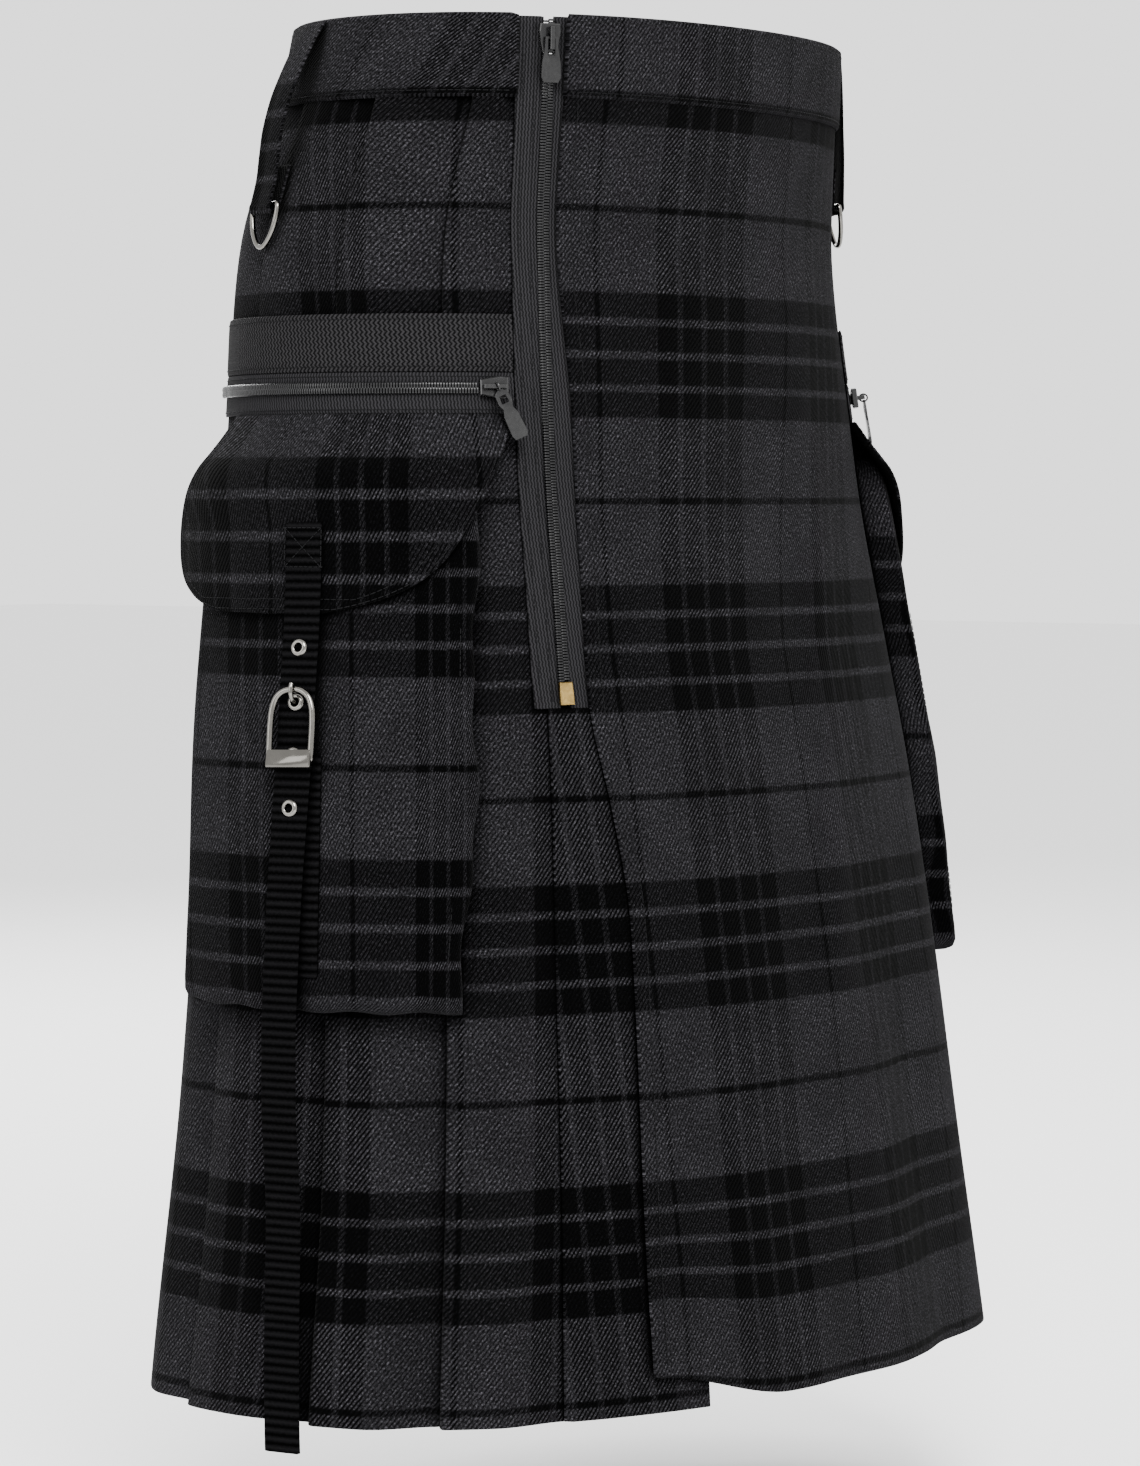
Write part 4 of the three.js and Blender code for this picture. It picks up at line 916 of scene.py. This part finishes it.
def bag(mirror):
    """Rows run down, then in along the bottom gusset; columns run out along the front gusset,
    across and back in. Both faces, a cloth's thickness apart."""
    down = mix(-163, -405, np.linspace(0, 1, 60))
    share, *depths = np.transpose(BAG_FLOOR)
    floor_rows = np.stack([np.interp(np.linspace(0, 1, 15)[1:], share, d) for d in depths], -1)
    z = np.concatenate([down, floor_rows[:, 0]])[:, None]
    full = np.concatenate([np.ones(len(down)), floor_rows[:, 1]])[:, None]
    under = np.concatenate([np.zeros(len(down)), np.ones(len(floor_rows))])[:, None]
    held = np.maximum(z, -405)
    bend = np.linspace(0, math.pi / 2, 7)[1:]
    rise = np.concatenate([np.linspace(0.02, 0.84, 8), 0.84 + 0.145 * np.sin(bend)])
    inset = np.concatenate([np.zeros(8), 0.0052 * (1 - np.cos(bend))])
    angle = np.concatenate([np.zeros(8), bend])
    t = np.linspace(0, 1, 61)[1:-1]
    right, left, face = (along(BAG_SHAPE, held, c) for c in (1, 2, 3))
    slack = 0.0013 * np.sin(held / 19.0) + 0.0008 * np.sin(held / 7.3 + 1)
    right, left = right + slack, left - 0.0011 * np.sin(held / 23.0 + 2)
    turn = np.concatenate([right - inset, mix(right - inset[-1], left + inset[-1], t[None, :]),
                           (left + inset)[:, ::-1]], axis=1)
    front = 0.985 + 0.015 * smooth(t * 9) * smooth((1 - t) * 9) + POCKET_SWELL * np.sin(math.pi * t)
    rise = np.concatenate([rise, front, rise[::-1]])[None, :]
    angle = np.concatenate([angle, np.full(len(t), math.pi / 2), angle[::-1]])[None, :]
    sign = np.concatenate([np.ones(14), np.zeros(len(t)), -np.ones(14)])[None, :]
    low = pocket_seat(held)
    along_front = (turn + 0.231) * round_length(held)
    crease = np.zeros(turn.shape)
    for x0, z0, x1, z1, width, deep in BAG_CREASES:
        s = np.clip((z - z0) / (z1 - z0), 0, 1)
        crease += deep * np.exp(-((along_front - mix(x0, x1, s)) / width) ** 2) * np.sin(math.pi * s) ** 0.7
    height = low + (face - low) * rise * full + crease * (angle > 1.5) * full
    wavy = 0.6 * np.sin(turn * 260 + 0.6) * smooth((-395 - z) / 20)
    inside_z = z + under * CLOTH * 0.85
    sink = CLOTH * np.sin(angle) * np.minimum(1, full * 1.1)
    inward = turns_of(CLOTH, held) * np.cos(angle) * sign
    outer = at(-mirror * turn, z + wavy, np.maximum(low, height))
    inner = at(-mirror * (turn - inward), inside_z + wavy, np.maximum(low, height - sink))
    place = np.zeros(turn.shape)
    for i in range(len(z)):
        keys = mix(BAG_CHECK[0], BAG_CHECK[1], np.clip((-260 - z[i, 0]) / 130, -0.75, 1.2))
        place[i] = np.interp(turn[i], keys, BAG_CHECK_PLACES)
    place += sign * (1 - rise / 0.985) * 20
    depth_down = (-311 - z) * 0.95 + under * (1 - full) * 20
    return shell(outer, inner, weave_of(place if mirror < 0 else 130 - place, depth_down))


for side, mirror in (("right", -1), ("left", 1)):
    points, faces, weave = bag(mirror)
    make_piece(f"pocket_{side}", points, faces, wool, "wool", weave, crease=60,
                            replaces=[f"pocket_bag_{side}"])
    z = np.linspace(-250, -398, 120)
    for edge, away in ((1, -0.0062), (2, 0.0062)):
        turn = along(BAG_SHAPE, z, edge) + away
        t = (turn - along(BAG_SHAPE, z, 1)) / (along(BAG_SHAPE, z, 2) - along(BAG_SHAPE, z, 1))
        stitch(-mirror * turn, z, pocket_front(t, z) + 0.1)

# Pocket flaps: one cut piece each, lined with itself, round at the lower corners, topstitched.
FLAP = [
    [-157.6, -0.148, -0.298, 5.6], [-165, -0.151, -0.299, 9.8], [-173, -0.1545, -0.3, 15.4],
    [-181, -0.158, -0.303, 20.6], [-191, -0.1625, -0.308, 23.4], [-205, -0.17, -0.3125, 24],
    [-219, -0.178, -0.3115, 23.8], [-229, -0.187, -0.3055, 23.5], [-236, -0.198, -0.295, 23.4],
    [-241, -0.211, -0.283, 23.3], [-244, -0.224, -0.268, 23.3]]
FLAP_THICK = 1.5
FLAP_CHECK_HEIGHTS = [180, 205, 235]
FLAP_CHECK_PLACES = [-130, -80, -37, 37, 93, 130, 150]
FLAP_CHECK = np.array([[-0.3958, -0.3300, -0.2734, -0.2283, -0.1924, -0.1648, -0.150],
                       [-0.3405, -0.3003, -0.2657, -0.2255, -0.1919, -0.1658, -0.152],
                       [-0.3327, -0.2957, -0.2639, -0.2248, -0.1919, -0.1663, -0.152]])


def flap_out(t, z):
    """How far the flap's inner face stands off, t from its front edge to its back one."""
    ripple = (0.5 * np.sin(t * 11 + 0.7) * smooth((-185 - z) / 50)
              + 0.35 * np.sin(t * 23) * smooth((-215 - z) / 25))
    return along(FLAP, z, 3) + np.sin(math.pi * t) * smooth((-157 - z) / 25) + ripple


for side, mirror in (("right", -1), ("left", 1)):
    z = mix(-157.6, -244, 1 - (1 - np.linspace(0, 1, 64)) ** 1.5)[:, None]
    t = np.linspace(0, 1, 81)[None, :]
    turn = mix(along(FLAP, z, 1), along(FLAP, z, 2), t)
    place = check_at(turn, z, FLAP_CHECK_HEIGHTS, FLAP_CHECK, FLAP_CHECK_PLACES)
    weave = weave_of(place if mirror < 0 else 130 - place, 48.2 + (-190.6 - z) * 0.805)
    out = flap_out(t, z)
    points, faces, weave = shell(at(-mirror * turn, z, out + FLAP_THICK), at(-mirror * turn, z, out), weave)
    make_piece(f"flap_{side}", points, faces, wool, "wool", weave,
                             replaces=[f"pocket_flap_{side}"])
    for inset in (1.6, 6.0):
        height = np.concatenate([np.linspace(-160, -244 + inset, 90), np.full(30, -244.0 + inset),
                                 np.linspace(-244 + inset, -160, 90)])
        front = along(FLAP, height - inset * 0.2, 1) - turns_of(inset, height)
        back = along(FLAP, height - inset * 0.2, 2) + turns_of(inset, height)
        turn = np.concatenate([front[:90], mix(front[89], back[120], np.linspace(0, 1, 30)), back[120:]])
        t = (turn - along(FLAP, height, 1)) / (along(FLAP, height, 2) - along(FLAP, height, 1))
        stitch(-mirror * turn, height, flap_out(np.clip(t, 0, 1), height) + FLAP_THICK + 0.1)

# Pocket straps: a long one sewn on the flap, through the buckle, its end free below the hem,
# and a short one under it that holds the buckle. Both are ribbed across.
STRAP_RUN = [
    [-205, -0.2307, 27.2], [-230, -0.2305, 26.8], [-247, -0.2307, 26.5], [-262, -0.231, 26.5],
    [-278, -0.2312, 27.2], [-300, -0.2318, 27], [-330, -0.2334, 26], [-365, -0.2351, 25.4],
    [-400, -0.236, 25], [-420, -0.2364, 24.6], [-435, -0.2366, 23.5], [-460, -0.2368, 21.2],
    [-500, -0.2355, 17.2], [-550, -0.2348, 13.4], [-603.5, -0.2326, 11.6]]
STRAP_THICK = 1.3
EYELETS = [-259, -282.5, -305.5, -328]
RIB_STEP = 3.7


def ribs(length):
    """Height of the ribs along a strap: each a rounded crest, with a narrow groove between."""
    return 0.3 * np.abs(np.sin(math.pi * length / RIB_STEP)) ** 0.5


def strap(mirror):
    """The long strap, its outer face ribbed and dimpled at the eyelets' holes."""
    z = np.linspace(-205, -603.5, 760)[:, None]
    x = (np.linspace(-0.5, 0.5, 19) * STRAP)[None, :]
    place, back, outward, _ = level_frame(mirror * along(STRAP_RUN, z[:, 0], 1), z[:, 0],
                                          along(STRAP_RUN, z[:, 0], 2))
    selvedge = smooth((STRAP / 2 - np.abs(x)) / 1.2)
    top = STRAP_THICK - 0.3 + ribs(-205 - z) * selvedge
    for eyelet in EYELETS:
        top = top - 0.9 * (np.hypot(x, z - eyelet) < 1.9)
    curl = 0.25 * np.sin(z / 31.0) * (x / 8.5) ** 2
    inner = place[:, None] + x[..., None] * back[:, None] + curl[..., None] * outward[:, None]
    return shell(inner + top[..., None] * outward[:, None], inner, weave_of(x + 0 * z, -205 - z + 0 * x))


BASE_MID = -0.2308


def base_strap(mirror):
    """The short strap, flat on the pocket's front."""
    z = np.linspace(-306, -400, 190)[:, None]
    x = (np.linspace(-0.5, 0.5, 15) * STRAP)[None, :]
    turn = BASE_MID + turns_of(x * 0.86, z)
    right, left = along(BAG_SHAPE, z, 1), along(BAG_SHAPE, z, 2)
    out = pocket_front((turn - right) / (left - right), z) + 0.35
    top = 0.9 + ribs(-306 - z) * smooth((STRAP / 2 - np.abs(x)) / 1.2)
    return shell(at(mirror * turn, z, out + top, flat=True), at(mirror * turn, z, out, flat=True),
                 weave_of(x + 0 * z, -306 - z + 0 * x))


for side, mirror in (("right", 1), ("left", -1)):
    points, faces, weave = strap(mirror)
    make_piece(f"strap_{side}", points, faces, strap_cloth, "webbing", weave, crease=60,
                              replaces=[f"strap_tail_{side}"])
    points, faces, weave = base_strap(mirror)
    make_piece(f"strap_end_{side}", points, faces, strap_cloth, "webbing", weave,
                                        crease=60, replaces=[f"strap_base_{side}"])
    for z_pair, x_pair in (((-207, -207), (-7, 7)), ((-207, -224), (7, 7)), ((-224, -224), (7, -7)),
                           ((-224, -207), (-7, -7)), ((-207, -224), (-7, 7)), ((-224, -207), (-7, 7))):
        z = np.linspace(*z_pair, 20)
        turn = along(STRAP_RUN, z, 1) - turns_of(np.linspace(*x_pair, 20), z)
        stitch(mirror * turn, z, along(STRAP_RUN, z, 2) + STRAP_THICK + 0.15, flat=True, step=2.4,
               size=(0.95, 0.22, 0.2))

# Eyelets, buckles and D-rings of nickel-plated steel. An eyelet is a rolled ring with a barrel
# down through the strap; the buckle's prong goes down into the second one.
EYELET_PROFILE = [(1.9, -0.6), (1.9, 0.5), (2.1, 0.85), (2.5, 1.0), (3.1, 0.85), (3.6, 0.45), (3.85, 0.0),
                  (3.4, 0.05), (2.3, 0.1), (2.15, -0.6)]


def turned_ring(profile, sides=40):
    """A closed ring turned from a closed profile of (radius, outward) points."""
    angle = np.linspace(0, 2 * math.pi, sides, endpoint=False)
    points = np.array([[r * math.cos(a), h, r * math.sin(a)] for a in angle for r, h in profile])
    index = np.arange(sides * len(profile)).reshape(sides, len(profile))
    nxt, up = np.roll(index, -1, 0), np.roll(index, -1, 1)
    return points, [np.stack([index, up, np.roll(nxt, -1, 1), nxt], -1).reshape(-1, 4)]


BUCKLE_HALF = [[0, 16.4], [4.4, 15.7], [8, 12.9], [9.9, 7.8], [10.4, 1], [10.4, -6], [10.2, -12.6],
               [9.2, -14.4]]
BUCKLE_WIRE = 1.4
PRONG = [[0, 1.6, 18.8], [0, 2, 16.6], [0, 1.7, 14.2], [0, 0.2, 12], [0, -2.4, 11]]
FOOT_PLATE = [[10.9, -9.8], [-10.9, -9.8], [-11.4, -17.6], [11.4, -17.6]]


def rounded_plate(corners, low, high, round_off=0.7):
    """A flat bar between two heights, its edges rounded in three steps."""
    corners = np.asarray(corners, float)
    centre = corners.mean(0)
    rings = []
    for inset, h in ((round_off, low), (0.2, low + 0.25), (0.0, (low + high) / 2), (0.2, high - 0.25),
                     (round_off, high)):
        flat = curve_corners(corners - unit(corners - centre) * inset, 1.2)
        rings.append(np.stack([flat[:, 0], np.full(len(flat), h), flat[:, 1]], -1))
    count = len(rings[0])
    index = np.arange(len(rings) * count).reshape(len(rings), count)
    nxt = np.roll(index, -1, 1)
    return np.concatenate(rings), [np.stack([index[:-1], nxt[:-1], nxt[1:], index[1:]], -1).reshape(-1, 4),
                                   index[:1, ::-1], index[-1:]]


def curve_corners(corners, radius):
    """The outline with each corner cut to three points."""
    out = []
    for i, corner in enumerate(corners):
        before, after = corners[i - 1], corners[(i + 1) % len(corners)]
        inwards = before + after - 2 * corner
        for way, reach in ((before - corner, radius), (inwards, radius * 0.3), (after - corner, radius)):
            out.append(corner + unit(way) * reach)
    return np.array(out)


buckle_loop = curve([[x, 0, z] for x, z in BUCKLE_HALF + [[0, -14.6]]
                     + [[-x, z] for x, z in BUCKLE_HALF[:0:-1]]], 120, closed=True)
for side, mirror in (("right", 1), ("left", -1)):
    for number, height in enumerate(EYELETS, 1):
        axes = leaning_frame(STRAP_RUN, height, STRAP_THICK + 0.2, mirror)
        points, faces = turned_ring(EYELET_PROFILE)
        make_piece(f"eyelet_{number}_ring_{side}", *facing_out(in_frame(axes, points), faces), nickel,
                   "nickel", crease=50, replaces=[f"eyelet_{number}_{side}"])
    axes = leaning_frame(STRAP_RUN, -293.5, STRAP_THICK + 0.35 + BUCKLE_WIRE + 1.1, mirror)
    parts = together(tube(buckle_loop, BUCKLE_WIRE, (0, 1, 0), 18, closed=True),
                     tube(curve(PRONG, 26), 1.0, (1, 0, 0), 14),
                     rounded_plate(FOOT_PLATE, -0.4, 1.9))
    make_piece(f"buckle_frame_{side}", *facing_out(in_frame(axes, parts[0]), parts[1]), nickel, "nickel",
               crease=50, replaces=[f"buckle_{side}"])

# Two D-rings of nickel-plated wire hang from cloth loops sewn in under the waistband's top
# edge; the right loop stands off in a bow, the left one lies nearly flat.
RING_WIRE = 1.2
RING_LEAN = 0.13
RING_OUT = 8.2
RING_HALF = [[10.2, 0], [11, -1.4], [10.7, -6], [9, -11.4], [6.1, -15.8], [2.9, -18.4]]
CURL = [[1.8, 10.6], [-1.4, 10.8], [-3.4, 9.4], [-3.6, 7.4], [-2.2, 5.9], [1.4, 5.6], [9, 5.7], [17, 5.9]]
RINGS = [
    ("right", -0.282, -63.0, [[17, 6.4], [9, 10], [-3, 14], [-16, 16.8], [-29, 16.6], [-41, 13.8],
                              [-51, 11.4]]),
    ("left", 0.183, -52.0, [[17, 6.4], [8, 7.4], [-4, 8.4], [-16, 9.2], [-28, 10], [-40, 10.4]])]
ring_half = [[x, z] for x, z in RING_HALF]
ring_outline = ring_half + [[0, -19.1]] + [[-x, z] for x, z in ring_half[::-1]]
ring_loop = curve([[x, -z * RING_LEAN, z] for x, z in ring_outline], 80)
ring_bar = np.stack([np.linspace(-10.2, 10.2, 14), np.zeros(14), np.zeros(14)], -1)[1:-1]
for side, turn, height, hang in RINGS:
    axes = level_frame(turn, height, RING_OUT)
    loop = np.concatenate([ring_loop, ring_bar])
    points, faces = tube(loop, RING_WIRE, (0, 1, 0), 16, closed=True)
    make_piece(f"ring_{side}", *facing_out(in_frame(axes, points), faces), nickel, "nickel", crease=50,
               body=f"ring_{side}", replaces=[f"d_ring_{side}"])
    path = curve(hang + [[height + dz, out] for dz, out in CURL], 110)
    run = unit(np.gradient(path, axis=0))
    length = np.concatenate([[0], np.cumsum(np.linalg.norm(np.diff(path, axis=0), axis=1))])
    x = (np.linspace(-0.5, 0.5, 17) * STRAP)[None, :]
    faces_of = []
    for sign in (0.7, -0.7):
        z, out = path[:, 0], path[:, 1] - run[:, 0] * sign
        place, back, outward, up = level_frame(turn, z, out)
        place = place + up * (run[:, 1] * sign)[:, None]
        faces_of.append(place[:, None] + x[..., None] * back[:, None]
                        + (0.2 * np.sin(x * 0.4 + length[:, None] * 0.05))[..., None] * outward[:, None])
    points, faces, weave = shell(*faces_of, weave_of(95 - x + 0 * length[:, None], length[:, None] + 8))
    make_piece(f"loop_{side}", points, faces, wool, "wool", weave, crease=60,
                             replaces=[f"ring_loop_{side}"])

# Sliders, pulls and the brass box keep the frame's own solids, with softened edges.
zip_metal = {"front_zip_slider": black_metal, "front_zip_pull": black_metal, "front_zip_stop": brass}
zip_metal |= {f"pocket_zip_{kind}_{side}": black_metal for kind in ("slider", "pull")
              for side in ("right", "left")}
for name, finish in zip_metal.items():
    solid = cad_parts[name]
    solid.data.materials.clear()
    solid.data.materials.append(finish)
    soften = solid.modifiers.new("soften", "BEVEL")
    soften.width = 0.0003
    soften.segments = 3
    soften.limit_method = "ANGLE"
    soften.angle_limit = math.radians(30)
    solid.data.shade_smooth()
    solid.data.set_sharp_from_angle(angle=math.radians(35))

# Topstitching in black thread on the apron's free edge, the waistband and the trims above.
z = np.linspace(-20, -584, 500)
turn = apron_edge(z) + turns_of(6.5, z)
lift = corner_lift(turns_of(6.5, z) / (APRON_END - apron_edge(z)), z)
curl = APRON_CURL * smooth((-420 - z) / 150)
stitch(turn, z + lift, apron_off(turn, z) + curl + APRON_THICK + 0.05)
for height in (WAIST_TOP - 2.2, WAIST_SEAM + 1.8):
    turn = np.linspace(apron_edge(height) + 0.002, 0.158, 400)
    stitch(turn, height + 0 * turn, BAND_OFF + BAND_THICK + 0.12)
    turn = np.linspace(0.1624, 1 + tape_edge(height) - 0.0025, 900)
    stitch(turn, height + 0 * turn, BAND_OFF + BAND_THICK + 0.12)
make_piece("stitches", *together(*THREAD), thread, "webbing")
